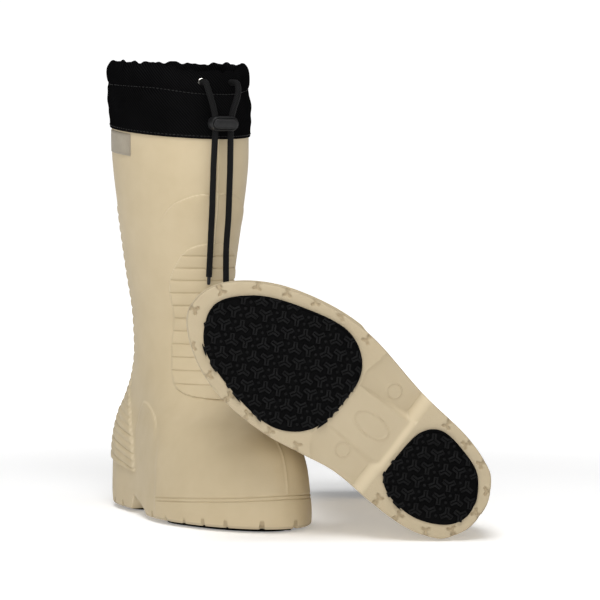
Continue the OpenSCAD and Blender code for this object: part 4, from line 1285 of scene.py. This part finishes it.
    def join(self, name: str, meshes: Sequence[bpy.types.Mesh], outline: Array) -> None:
        """Joins meshes of the boot's frame into one piece, trimmed at the pad's edge and set in place."""
        work = Patchwork()
        for mesh in meshes:
            points, groove = np.empty(len(mesh.vertices) * 3), np.empty(len(mesh.vertices))
            mesh.vertices.foreach_get("co", points)
            mesh.attributes["groove"].data.foreach_get("value", groove)
            points = points.reshape(-1, 3) / MM
            _, who = nearest(points[:, :2], outline)
            beyond = ~self.is_inside(points[:, :2], outline)
            points[beyond, :2] = outline[who[beyond]]
            index = work.add_points(points, groove=groove)
            spots = [tuple(p) for p in np.round(points, 3).tolist()]
            for face in mesh.polygons:
                corners = {spots[v]: index[v] for v in face.vertices}
                work.add_face(list(corners.values()))
            bpy.data.meshes.remove(mesh)
        piece = work.make(name, self.stance, self.finishes.lug, sharp=30.0, outward=False)
        self.declare(piece, "tread_rubber")

    def build(self) -> None:
        """Makes both treads."""
        for kind in self.PADS:
            self.build_pad(kind)


@dataclass
class Collar(BootPart):
    """Woven sleeve round the shaft's top, folded in at its top round the drawcord."""

    scatter: Scatter
    points_round: int = 420
    section_points: int = 74
    mean_r: float = 66.0
    flat_w: float = 0.43
    flat_h: float = 0.090
    stitch_gap: float = 3.6
    stitch_lift: float = 0.12
    edge_gap: float = 2.2
    dent: float = 1.2
    dent_r: float = 5.4

    def section(self) -> tuple[Array, Array, Array]:
        """Line of the cloth from its lower edge over the fold to the flap.

        Returns:
            Height over the rim, distance out, and length along the cloth.
        """
        seam, top, lap = COLLAR.seam_z, COLLAR.height, COLLAR.lap
        inside = COLLAR.hem_out - COLLAR.cloth - COLLAR.cord_d - COLLAR.hem_room
        knots = np.array([[-lap, 1.35], [-lap + 3, 1.5], [-lap + 6, 1.55], [2, 2.1], [10, 2.6], [18, 2.4],
                          [seam - 4, 1.7], [seam - 1.2, 0.9], [seam, 0.45], [seam + 1.2, 0.9],
                          [seam + 4, 1.9], [seam + 10, 2.3], [seam + 15, 1.7], [top - 2.2, 0.2],
                          [top - 0.4, -1.8], [top - 0.2, -3.6], [top - 1.8, -5.8], [top - 5, -7.0],
                          [seam + 10, inside - 0.6], [seam + 3, inside + 0.4], [seam, -1.2]])
        table = np.column_stack([run_along(knots), knots])
        even = np.linspace(0, table[-1, 0], self.section_points)
        return along(table, 1, even), along(table, 2, even), even

    @staticmethod
    def folds(a: Array, z: Array) -> Array:
        """Gathers that the cord draws into the hem, and soft drag folds below it.

        Args:
            a: Turn round the mouth in radians.
            z: Height over the rim.
        Returns:
            Distance out, in mm.
        """
        shift = np.random.default_rng(SEED).uniform(0, 2 * math.pi, 12)
        hem = smooth(COLLAR.seam_z - 7, COLLAR.seam_z + 4, z)
        swell = 0.6 + 0.4 * np.sin(3 * a + shift[0]) * np.sin(2 * a + shift[1])
        gather = ripple(a, ((19, 0.55), (27, 0.42), (41, 0.26), (11, 0.45)), shift[2:6]) * swell
        slack = ripple(a, ((5, 0.5), (8, 0.35)), shift[6:8]) * smooth(-2, 14, z)
        drag = 0.42 * np.sin(13 * a + 0.16 * z + shift[8]) * smooth(4, 20, z)
        cross = 0.35 * np.sin(0.42 * z + 2.2 * np.sin(4 * a + shift[9])) * smooth(-6, 6, z)
        pucker = ripple(a, ((88, 0.20), (63, 0.16)), shift[10:12]) * bell(z - COLLAR.seam_z, 3.2)
        quiet = 1 - 0.75 * bell(from_front(a), 0.33)
        return quiet * mix(slack + drag + cross, 1.25 * gather, hem) + pucker

    def dents(self, a: Array, z: Array) -> Array:
        """How far the two eyelets press the cloth in, in mm."""
        turn = np.abs(from_front(a)) - COLLAR.eyelet_turn
        far = np.hypot(turn * (SIZES.mouth_w / 2 + COLLAR.hem_out), z - COLLAR.eyelet_z)
        return self.dent * bell(far, self.dent_r)

    def build_sleeve(self) -> bpy.types.Object:
        """Cloth of the collar, with its thickness."""
        z, out, run = self.section()
        rows, turn = np.meshgrid(np.arange(len(z)), circle(self.points_round), indexing="ij")
        height = z[rows]
        pressed = self.dents(turn, height) * (run[rows] < run[-1] / 2)
        outer = SIZES.sleeve(turn, height, out[rows] + self.folds(turn, height) - pressed)
        shift = np.random.default_rng(SEED + 1).uniform(0, 2 * math.pi, 4)
        crown = ripple(turn, ((19, 0.6), (27, 0.45), (7, 0.7), (43, 0.35)), shift)
        outer[..., 2] += smooth(COLLAR.seam_z + 6, COLLAR.height, height) * crown
        swing = np.roll(outer, -1, axis=1) - np.roll(outer, 1, axis=1)
        inner = outer - COLLAR.cloth * unit(np.cross(swing, np.gradient(outer, axis=0)))
        around = 2 * math.pi * self.mean_r * np.linspace(0, 1, self.points_round + 1)
        places = np.stack(np.meshgrid(run, around, indexing="ij")[::-1], axis=-1)
        work = Patchwork()
        front, back = work.add_points(outer), work.add_points(inner)
        loop = np.concatenate([front, back[::-1], front[:1]])
        work.add_grid(loop, True, np.concatenate([places, places[::-1], places[:1]]))
        return work.make(self.stance.node("collar_cloth"), self.stance, self.finishes.twill, sharp=60.0)

    def stitch_shape(self) -> bpy.types.Object:
        """One stitch: a short capsule of thread along x, in metres."""
        rows = ((-1.25, 0.12), (-0.9, 0.26), (0.0, 0.34), (0.9, 0.26), (1.25, 0.12))
        loops = [ring_at((x, 0, 0.05), r, (0, 1, 0), (0, 0, 1), 6) for x, r in rows]
        work = Patchwork()
        work.add_loft(np.array(loops) * MM)
        return work.make("stitch_shape", None, self.finishes.thread, sharp=80.0)

    @staticmethod
    def stitch_turn(tangent: Array, up: Array) -> tuple[float, float, float]:
        """Euler angles that lay x along a tangent, with z square to it and to an upward direction."""
        x = Vector(tangent).normalized()
        z = x.cross(Vector(up)).normalized()
        return tuple(Matrix((x, z.cross(x), z)).transposed().to_euler())

    def build_stitches(self) -> bpy.types.Object:
        """Rows of stitches along the lower edge and the tunnel's seam."""
        section_z, section_out, _ = self.section()
        outside = slice(0, 40)
        places, facing = [], []
        for z in (-COLLAR.lap + self.edge_gap, COLLAR.seam_z - 0.2):
            a = circle(int(2 * math.pi * self.mean_r / self.stitch_gap))
            flat = np.interp(z, section_z[outside], section_out[outside])
            out = flat + self.folds(a, z + 0.0 * a) + self.stitch_lift
            here, ahead, above = (self.stance.carry(SIZES.sleeve(turn, level, out))
                                  for turn, level in ((a, z), (a + 0.01, z), (a, z + 1.0)))
            places.append(here)
            facing += [self.stitch_turn(*ways) for ways in zip(ahead - here, above - here)]
        name, shape = self.stance.node("collar_stitches"), self.stitch_shape()
        spots = np.concatenate(places)
        mesh = self.scatter.spread(name, spots, np.array(facing), shape, self.finishes.thread)
        bpy.data.objects.remove(shape)
        return add_object(name, mesh, sharp=80.0)

    def build(self) -> None:
        cloth = self.declare(self.build_sleeve(), "collar_cloth", "collar")
        stitches = self.declare(self.build_stitches(), "collar_cloth")
        self.stance.node("foam_upper")


@dataclass
class Drawcord(BootPart):
    """Free cord ends with their tips, the stretch in the hem, and the eyelets."""

    sides: int = 16
    tip_len: float = 18.0
    braid_over_tip: float = 12.0
    steps: int = 8
    lead: Pair = (-0.7, 2.6)
    tuck: float = 0.9
    hem_start: float = 0.12
    hem_points: int = 110

    ROUTES = {
        (Stance.STANDING, "inner"): [
            (162.5, 14.4, 367.4), (165.4, 14.6, 364.6), (167.4, 13.8, 360), (168.2, 12.2, 354),
            (167.8, 9.8, 347), (167.3, 8, 340), (166.8, 7.2, 333), (166.3, 7.2, 326), (165.7, 7.4, 318),
            (165, 7.6, 308), (164.2, 7.8, 297), (163.4, 7.8, 286), (162.5, 7.8, 275), (161.7, 7.8, 264),
            (160.9, 7.6, 252), (160, 7, 240), (159.1, 6.6, 228), (158.2, 6.8, 216), (157.4, 7.2, 205)],
        (Stance.STANDING, "outer"): [
            (162.5, -14.4, 367.4), (165.4, -14.6, 364.6), (167.4, -13.8, 360), (168.2, -12.2, 354),
            (167.8, -9.8, 347), (167.3, -8, 340), (166.8, -7.2, 333), (166.3, -7.2, 326), (165.7, -7.4, 318),
            (165, -7.6, 308), (164.2, -7.8, 297), (163.4, -7.8, 286), (162.5, -7.8, 275), (161.7, -7.8, 264),
            (160.9, -8, 252), (160, -8.2, 240), (159.1, -8.4, 228), (158.2, -8.6, 216)],
        (Stance.LYING, "inner"): [
            (-136, 367.5, 100.6), (-140.6, 366.5, 100.2), (-143.5, 365, 96), (-144, 363.5, 90),
            (-144, 362.3, 83), (-144, 362, 75), (-144, 362, 66), (-144, 362, 56), (-144, 362, 46),
            (-144, 362, 36), (-144, 362, 26), (-144.6, 362, 17), (-147, 362, 9.5), (-152.5, 362, 4.2),
            (-160, 362, 2.4), (-169, 362.4, 2.4), (-179, 363.4, 2.4), (-189, 365, 2.4), (-199, 367.2, 2.4),
            (-208, 369.6, 2.4)],
        (Stance.LYING, "outer"): [
            (-118.6, 368.3, 122.8), (-122, 369, 125.2), (-126.5, 370.3, 125.6), (-131.5, 372, 122.5),
            (-136, 373.7, 116.5), (-139.8, 375, 108.5), (-142.6, 375.8, 99.5), (-144, 376, 90),
            (-144, 376, 81), (-144, 376, 71), (-144, 376, 61), (-144, 376, 51), (-144, 376, 41),
            (-144, 376, 31), (-144, 376, 22), (-145.2, 376, 14), (-148.6, 376, 7.4), (-154.6, 376, 3.4),
            (-162, 376, 2.4), (-171, 376.6, 2.4), (-181, 378.2, 2.4)]}

    @staticmethod
    def eyelet(side: float) -> tuple[Array, Array]:
        """Place of an eyelet on the cloth and its axis, both in the boot's frame."""
        a, z, out = side * COLLAR.eyelet_turn, COLLAR.eyelet_z, COLLAR.hem_out
        turn = SIZES.sleeve(a + 0.017, z, out) - SIZES.sleeve(a - 0.017, z, out)
        rise = SIZES.sleeve(a, z + 1, out) - SIZES.sleeve(a, z - 1, out)
        return SIZES.sleeve(a, z, out), unit(np.cross(turn, rise))

    @staticmethod
    def smooth_path(points: Array, per_gap: int) -> Array:
        """Smooth curve through points, with a number of steps between two of them."""
        padded = np.concatenate([2 * points[:1] - points[1:2], points, 2 * points[-1:] - points[-2:-1]])
        t = np.linspace(0, 1, per_gap + 1)[:-1, None]
        pieces = [bend_through(*four, t) for four in zip(padded, padded[1:], padded[2:], padded[3:])]
        return np.concatenate([*pieces, points[-1:]])

    def route(self, which: str) -> tuple[Array, Array]:
        """Route of a free cord end, in metres, and the direction of its last stretch."""
        points = self.stance.on_ground(np.array(self.ROUTES[(self.stance, which)], float))
        return points, unit(points[-1] - points[-2])

    def tube(self, name: str, path: Array) -> bpy.types.Object:
        """Braided cord along a path in metres, with UV in mm round and along it."""
        way = unit(np.gradient(path, axis=0))
        u = np.cross([0.13, 0.95, 0.28], way[0])
        loops = []
        for point, t in zip(path, way):
            u = unit(u - np.dot(u, t) * t)
            loops.append(ring_at(point, COLLAR.cord_d / 2 * MM, u, np.cross(t, u), self.sides))
        around = np.linspace(0, math.pi * COLLAR.cord_d, self.sides + 1)
        work = Patchwork()
        places = np.meshgrid(run_along(path) / MM, around, indexing="ij")[::-1]
        work.add_loft(loops, np.stack(places, axis=-1))
        return work.make(name, None, self.finishes.braid, sharp=50.0)

    def build_free_end(self, which: str, side: float, tips: bpy.types.Object) -> None:
        """One free cord end, from its eyelet to its tip.

        Args:
            which: "inner" or "outer".
            side: 1 for the inner eyelet, -1 for the outer one.
            tips: Piece with the tips; not used.
        """
        at, axis = self.eyelet(side)
        lead = self.stance.carry(np.array([at + out * axis for out in self.lead]))
        route, way = self.route(which)
        end = route[-1] + self.braid_over_tip * MM * way
        path = self.smooth_path(np.concatenate([lead, route, end[None]]), self.steps)
        name = self.stance.node(f"{which}_cord_end")
        piece = self.declare(self.tube(name, path), "cord", f"{which}_cord")

    def build_tips(self) -> bpy.types.Object:
        """Plastic tips on both cord ends, crimped where they hold the cord."""
        start, end = self.braid_over_tip, self.tip_len
        rows = ((start - 2.2, 2.26), (start - 0.4, 2.2), (start + 0.3, 1.62), (start + 1.2, 1.5),
                (end - 1.2, 1.5), (end - 0.2, 1.42), (end + 0.5, 1.1), (end + 0.8, 0.5))
        work = Patchwork()
        for which in ("inner", "outer"):
            route, way = self.route(which)
            u = unit(np.cross([0, 1, 0.2], way))
            v = np.cross(way, u)
            work.add_loft([ring_at(route[-1] + x * MM * way, r * MM, u, v, self.sides) for x, r in rows])
        piece = work.make(self.stance.node("tips"), None, self.finishes.plastic, sharp=45.0)
        return self.declare(piece, "tip_plastic", "cord_tips")

    def build_hem_cord(self) -> None:
        """Stretch of the cord inside the hem tunnel, from eyelet to eyelet."""
        start = COLLAR.eyelet_turn + self.hem_start
        a = np.linspace(start, 2 * math.pi - start, self.hem_points)
        out = COLLAR.hem_out - COLLAR.cloth - (COLLAR.cord_d + COLLAR.hem_room) / 2
        first, last = (place - self.tuck * axis for place, axis in map(self.eyelet, (1.0, -1.0)))
        ring = SIZES.sleeve(a, COLLAR.eyelet_z, out)
        path = self.stance.carry(np.concatenate([first[None], ring, last[None]]))
        self.declare(self.tube(self.stance.node("hem_draw"), path), "cord", "hem_cord")

    def build(self) -> None:
        """Makes the cords and dresses the eyelets."""
        tips = self.build_tips()
        for which, side in (("inner", 1.0), ("outer", -1.0)):
            self.build_free_end(which, side, tips)
        self.build_hem_cord()
        self.dress("eyelets", self.finishes.metal)


@dataclass
class CordLock(BootPart):
    """Oval spring lock on the two cords: cup, button and spring."""

    width: float = 25.5
    height: float = 12.4
    button_w: float = 22.4
    button_h: float = 8.7
    gap: float = 0.3
    depth: float = 11.1
    back: float = 1.7
    hollow: float = 5.6
    plate: float = 10.9
    plate_t: float = 1.4
    cord_x: float = 6.55
    tilt: float = 4.2
    hung_at: Pair = (166.8, 333.0)
    laid_at: tuple[float, float, float] = (-144.0, 369.0, 56.0)

    def place(self, points: Array) -> Array:
        """Takes points from the lock's frame (x out, y across, z along the cords), in mm, to the pair's."""
        x, y, z = np.moveaxis(np.asarray(points, float), -1, 0)
        x = x - self.cord_x
        if self.stance is Stance.STANDING:
            c, s = math.cos(math.radians(self.tilt)), math.sin(math.radians(self.tilt))
            at_x, at_z = self.hung_at
            return self.stance.carry(np.stack([at_x + x * c + z * s, y, at_z - x * s + z * c], axis=-1))
        return self.stance.on_ground(np.stack([-x, -y, z], axis=-1) + np.array(self.laid_at))

    @staticmethod
    def oval(w: float, h: float, x: float, inset: float) -> Array:
        """Loop with straight sides and round ends, square to x, drawn in by an inset."""
        w, h = w - 2 * inset, h - 2 * inset
        a = np.linspace(-math.pi / 2, math.pi / 2, 17)
        right = np.column_stack([(w - h) / 2 + h / 2 * np.cos(a), h / 2 * np.sin(a)])
        loop = np.concatenate([right, -right])
        return np.column_stack([np.full(len(loop), x), loop])

    def loft(self, name: str, rows: Sequence[tuple[float, float, float, float]]) -> bpy.types.Object:
        """Closed loft over ovals, each of a width, a height, a place along x and an inset."""
        work = Patchwork()
        work.add_loft(self.place(np.array([self.oval(*row) for row in rows])))
        return work.make(self.stance.node(name), None, self.finishes.plastic, sharp=50.0)

    def build(self) -> None:
        """Makes cup and button with rounded edges, and dresses the spring."""
        cup, button = (self.width, self.height), (self.button_w, self.button_h)
        back, top, face = self.back, self.depth, self.plate + self.plate_t
        floor = top - self.hollow
        shell = [(*cup, x, inset) for x, inset in (
            (back, 1.3), (back + 0.35, 0.45), (back + 1.1, 0.0), (5.0, 0.0), (top - 1.2, 0.15),
            (top - 0.4, 0.45), (top, 0.95))]
        hole = [(*button, x, inset - self.gap) for x, inset in (
            (top, -0.25), (top - 0.35, 0.0), (floor, 0.0), (floor - 0.05, 3.0))]
        self.declare(self.loft("lock_cup", shell + hole), "lock_plastic", "lock_body", body="lock")
        cap = [(*button, x, inset) for x, inset in (
            (self.plate - 3.0, 0.2), (face - 0.7, 0.0), (face - 0.25, 0.2), (face, 0.7), (face + 0.02, 1.0),
            (face - 0.16, 1.35), (face - 0.1, 1.9), (face + 0.12, 3.3))]
        self.declare(self.loft("lock_press", cap), "lock_plastic", "lock_button", body="button")
        self.dress("lock_spring", self.finishes.wire)


@dataclass
class Lining(BootPart):
    """Felt inner boot and footbed."""

    points_round: int = 150
    felt: float = 5.0
    gap: float = 1.0
    drop: float = 6.0
    insole: float = 5.0
    lumps: float = 0.25
    middle: Pair = (40.0, 240.0)
    cup_depth: float = 1.1
    cup_end: Pair = (60.0, 110.0)

    LEVELS = (315, 290, 265, 240, 215, 190, 170, 153, 140, 128, 117, 107, 98, 90, 80, 70, 60, 50, 40, 33)

    @staticmethod
    def flat_ring(turns: Array, inset: float, z: float) -> Array:
        """Outline of the foot's floor, drawn in by an inset, at one height."""
        ring = SIZES.skin(SIZES.floor_z, turns, inset)
        ring[:, 2] = z
        return ring

    def build_liner(self) -> bpy.types.Object:
        """Felt inner boot with a soft rolled rim."""
        turns = SIZES.even_turns(self.points_round)
        near, deep = SIZES.wall + self.gap, SIZES.wall + self.gap + self.felt
        top, base = SIZES.leg_h - self.drop, SIZES.floor_z + 0.2
        heights = (top - 2.0, *self.LEVELS)
        lump = np.random.default_rng(SEED + 2).normal(0, self.lumps, (len(heights), len(turns)))
        lump = (lump + np.roll(lump, 1, axis=1) + np.roll(lump, -1, axis=1)) / 3
        rolled = ((top - 0.6, near + 0.5), (top, near + 1.8), (top - 0.2, deep - 1.5),
                  (top - 1.0, deep - 0.4))
        work = Patchwork()
        work.add_shell([self.flat_ring(turns, near, base),
                        *(SIZES.skin(h, turns, near) for h in heights[::-1]),
                        *(SIZES.skin(h, turns, inset) for h, inset in rolled),
                        *(SIZES.skin(h, turns, deep + b) for h, b in zip(heights, lump)),
                        self.flat_ring(turns, deep, base + self.felt)])
        return work.make(self.stance.node("felt_liner"), self.stance, self.finishes.felt, sharp=60.0)

    def build_insole(self) -> bpy.types.Object:
        """Footbed with rounded edges and a shallow heel cup."""
        turns = SIZES.even_turns(self.points_round)
        edge = SIZES.wall + self.felt + 3 * self.gap
        base = SIZES.floor_z + self.felt + 0.4
        top = base + self.insole
        rows = [self.flat_ring(turns, edge + inset, z) for z, inset in (
            (base, 1.0), (base, 0.4), (base + 0.8, 0.0), (top - 0.8, 0.0), (top, 0.8), (top, 2.5))]
        x = np.clip(SIZES.skin(SIZES.floor_z, turns, edge)[:, 0], *self.middle)
        middle = np.outer(x, [1, 0, 0])
        for share in (0.3, 0.6, 0.85):
            ring = mix(rows[-1], middle, share)
            ring[:, 2] = top - self.cup_depth * share * (1 - smooth(*self.cup_end, ring[:, 0]))
            rows.append(ring)
        work = Patchwork()
        work.add_shell(rows)
        return work.make(self.stance.node("footbed"), self.stance, self.finishes.footbed, sharp=50.0)

    def build(self) -> None:
        """Makes liner and footbed."""
        self.declare(self.build_liner(), "liner_felt", "liner")
        insole = self.declare(self.build_insole(), "insole_cloth", "insole")


@dataclass
class Label(BootPart):
    """Plain patch under the collar on the outer side."""

    start: float = 65.0
    arc: float = 37.0
    half_w: float = 24.0
    height: float = 19.0
    thick: float = 0.8
    corner: float = 2.0
    weld_in: float = 1.3
    weld_w: float = 0.45
    weld_depth: float = 0.22
    grid: tuple[int, int] = (22, 46)
    drop: float = 1.5

    def build(self) -> None:
        """Makes the patch with round corners and a welded edge line."""
        half_w, half_h, corner = self.half_w, self.height / 2, self.corner
        v, u = np.meshgrid(*(np.linspace(-1, 1, count) for count in self.grid), indexing="ij")
        past = [np.maximum(np.abs(p) * half - half + corner, 0) for p, half in ((u, half_w), (v, half_h))]
        far = np.hypot(*past)
        pull = np.where(far > corner, corner / np.maximum(far, 1e-9), 1.0)
        px, py = (np.sign(p) * (np.minimum(np.abs(p) * half, half - corner) + more * pull)
                  for p, half, more in ((u, half_w, past[0]), (v, half_h, past[1])))
        turn = np.radians(self.start + self.arc * (px / half_w + 1) / 2)
        h = SIZES.leg_h - COLLAR.lap - self.drop - half_h + py
        edge = np.minimum(half_w - np.abs(px), half_h - np.abs(py))
        weld = bell(edge - self.weld_in, self.weld_w)
        face = 0.3 + self.thick * smooth(-0.2, 0.7, edge) - self.weld_depth * weld
        work = Patchwork()
        front = work.add_points(SIZES.skin(h, turn, -face), groove=0.8 * weld)
        back = work.add_points(SIZES.skin(h, turn, -0.05))
        work.add_grid(front[::-1], False)
        work.add_grid(back, False)
        rim = [np.concatenate([g[0, :-1], g[:-1, -1], g[-1, :0:-1], g[:0:-1, 0]]) for g in (back, front)]
        work.add_grid(np.stack(rim), True)
        piece = work.make(self.stance.node("patch"), self.stance, self.finishes.patch, sharp=55.0,
                          outward=False)
        self.declare(piece, "label_patch", "label")


@dataclass
class Studio:
    """Pale floor, soft lights and the camera of the photograph."""

    eye: tuple[float, float, float] = (-0.102, -2.473, 0.284)
    azimuth: float = -3.5
    lens: float = 178.5
    sensor: float = 36.0
    horizon_px: float = 182.0
    frame_px: float = 600.0
    floor_reach: float = 14.0
    floor_z: float = -0.0004
    sky_rise: Pair = (0.07, 0.13)
    sky_light: Pair = (1.05, 0.2)

    LIGHTS = (("key", (-0.2, -2.1, 2.5), (0.05, 0.0, 0.17), 1.5, 50.0),
              ("front", (-0.35, -2.7, 0.55), (0.0, 0.0, 0.12), 0.9, 15.0),
              ("top", (-0.2, -0.3, 3.0), (0.0, 0.0, 0.0), 1.5, 31.0))

    def build_camera(self) -> None:
        """Camera at the photograph's place, tipped so that the horizon is where the photograph has it."""
        data = bpy.data.cameras.new("camera")
        data.lens, data.sensor_width = self.lens, self.sensor
        tip = math.atan((0.5 - self.horizon_px / self.frame_px) * self.sensor / self.lens)
        data.clip_start, data.clip_end = 0.05, 60.0
        camera = bpy.data.objects.new("camera", data)
        camera.location = self.eye
        camera.rotation_euler = (math.pi / 2 - tip, 0.0, math.radians(self.azimuth))
        bpy.context.scene.collection.objects.link(camera)
        bpy.context.scene.camera = camera

    @staticmethod
    def add_light(name: str, place: Sequence[float], aim: Sequence[float], size: float,
                  power: float) -> None:
        """Large square light at a place, turned to a point."""
        data = bpy.data.lights.new(name, "AREA")
        data.shape, data.size, data.energy = "SQUARE", size, power
        lamp = bpy.data.objects.new(name, data)
        lamp.location = place
        lamp.rotation_euler = (Vector(aim) - Vector(place)).to_track_quat("-Z", "Y").to_euler()
        bpy.context.scene.collection.objects.link(lamp)

    def build_world(self) -> None:
        """White surround at the horizon, dimmer overhead."""
        world = bpy.data.worlds.new("studio")
        bpy.context.scene.world = world
        world.use_nodes = True
        sky = Nodes(world.node_tree)
        backdrop = next(n for n in sky.tree.nodes if n.type == "BACKGROUND")
        way = sky.node("ShaderNodeTexCoord").outputs["Generated"]
        rise = sky.node("ShaderNodeSeparateXYZ", {}, {0: way}).outputs[2]
        fade = sky.node("ShaderNodeMapRange", {},
                        dict(enumerate((rise, *self.sky_rise, *self.sky_light))))
        sky.tree.links.new(fade.outputs[0], backdrop.inputs[1])
        backdrop.inputs[0].default_value = (1.0, 1.0, 1.0, 1.0)

    def build_floor(self) -> None:
        """Pale floor that glows: painted light, dim near the boots and brighter away from them."""
        mesh = bpy.data.meshes.new("floor")
        corners = [(x * self.floor_reach, y * self.floor_reach, self.floor_z)
                   for x, y in ((-1, -1), (1, -1), (1, 1), (-1, 1))]
        mesh.from_pydata(corners, [], [(0, 1, 2, 3)])
        floor = bpy.data.objects.new("floor", mesh)
        bpy.context.scene.collection.objects.link(floor)
        pale = Finish("pale_floor", Roughness=0.9, Specular_IOR_Level=0.1, Emission_Strength=1.0)
        pale.feed("Base Color", pale.colours(pale.noise(3.0), [(0.3, (0.92, 0.92, 0.92)),
                                                               (0.7, (0.94, 0.94, 0.94))]))
        x, y, _ = pale.split(pale.place())
        # Painted light: the floor's glow grows from dim near the boots to nearly white far away.
        far = ((x * x + y * y) ** 0.5 * 0.25).step(0.12, 0.36)
        pale.feed("Emission Color", pale.colours(far, [(0.0, (0.25, 0.25, 0.25)), (1.0, (0.9, 0.9, 0.9))]))
        mesh.materials.append(pale.material)

    def build(self) -> None:
        """Makes floor, world and lights."""
        self.build_floor()
        self.build_world()
        for light in self.LIGHTS:
            self.add_light(*light)
        view = bpy.context.scene.view_settings
        view.view_transform, view.look = "Standard", "None"


def main() -> None:
    """Builds both boots in order."""
    logging.basicConfig(level=logging.INFO, format="%(name)s: %(message)s")
    studio = Studio()
    studio.build_camera()
    finishes = Finishes()
    scatter = Scatter("set_on_points")
    for stance in Stance:
        Drawcord(stance, finishes).build()
        CordLock(stance, finishes).build()
        FoamBody(stance, finishes).build()
        Treads(stance, finishes, scatter).build()
        Collar(stance, finishes, scatter).build()
        Lining(stance, finishes).build()
        Label(stance, finishes).build()
    studio.build()
    bpy.context.view_layer.update()


if __name__ == "__main__":
    main()
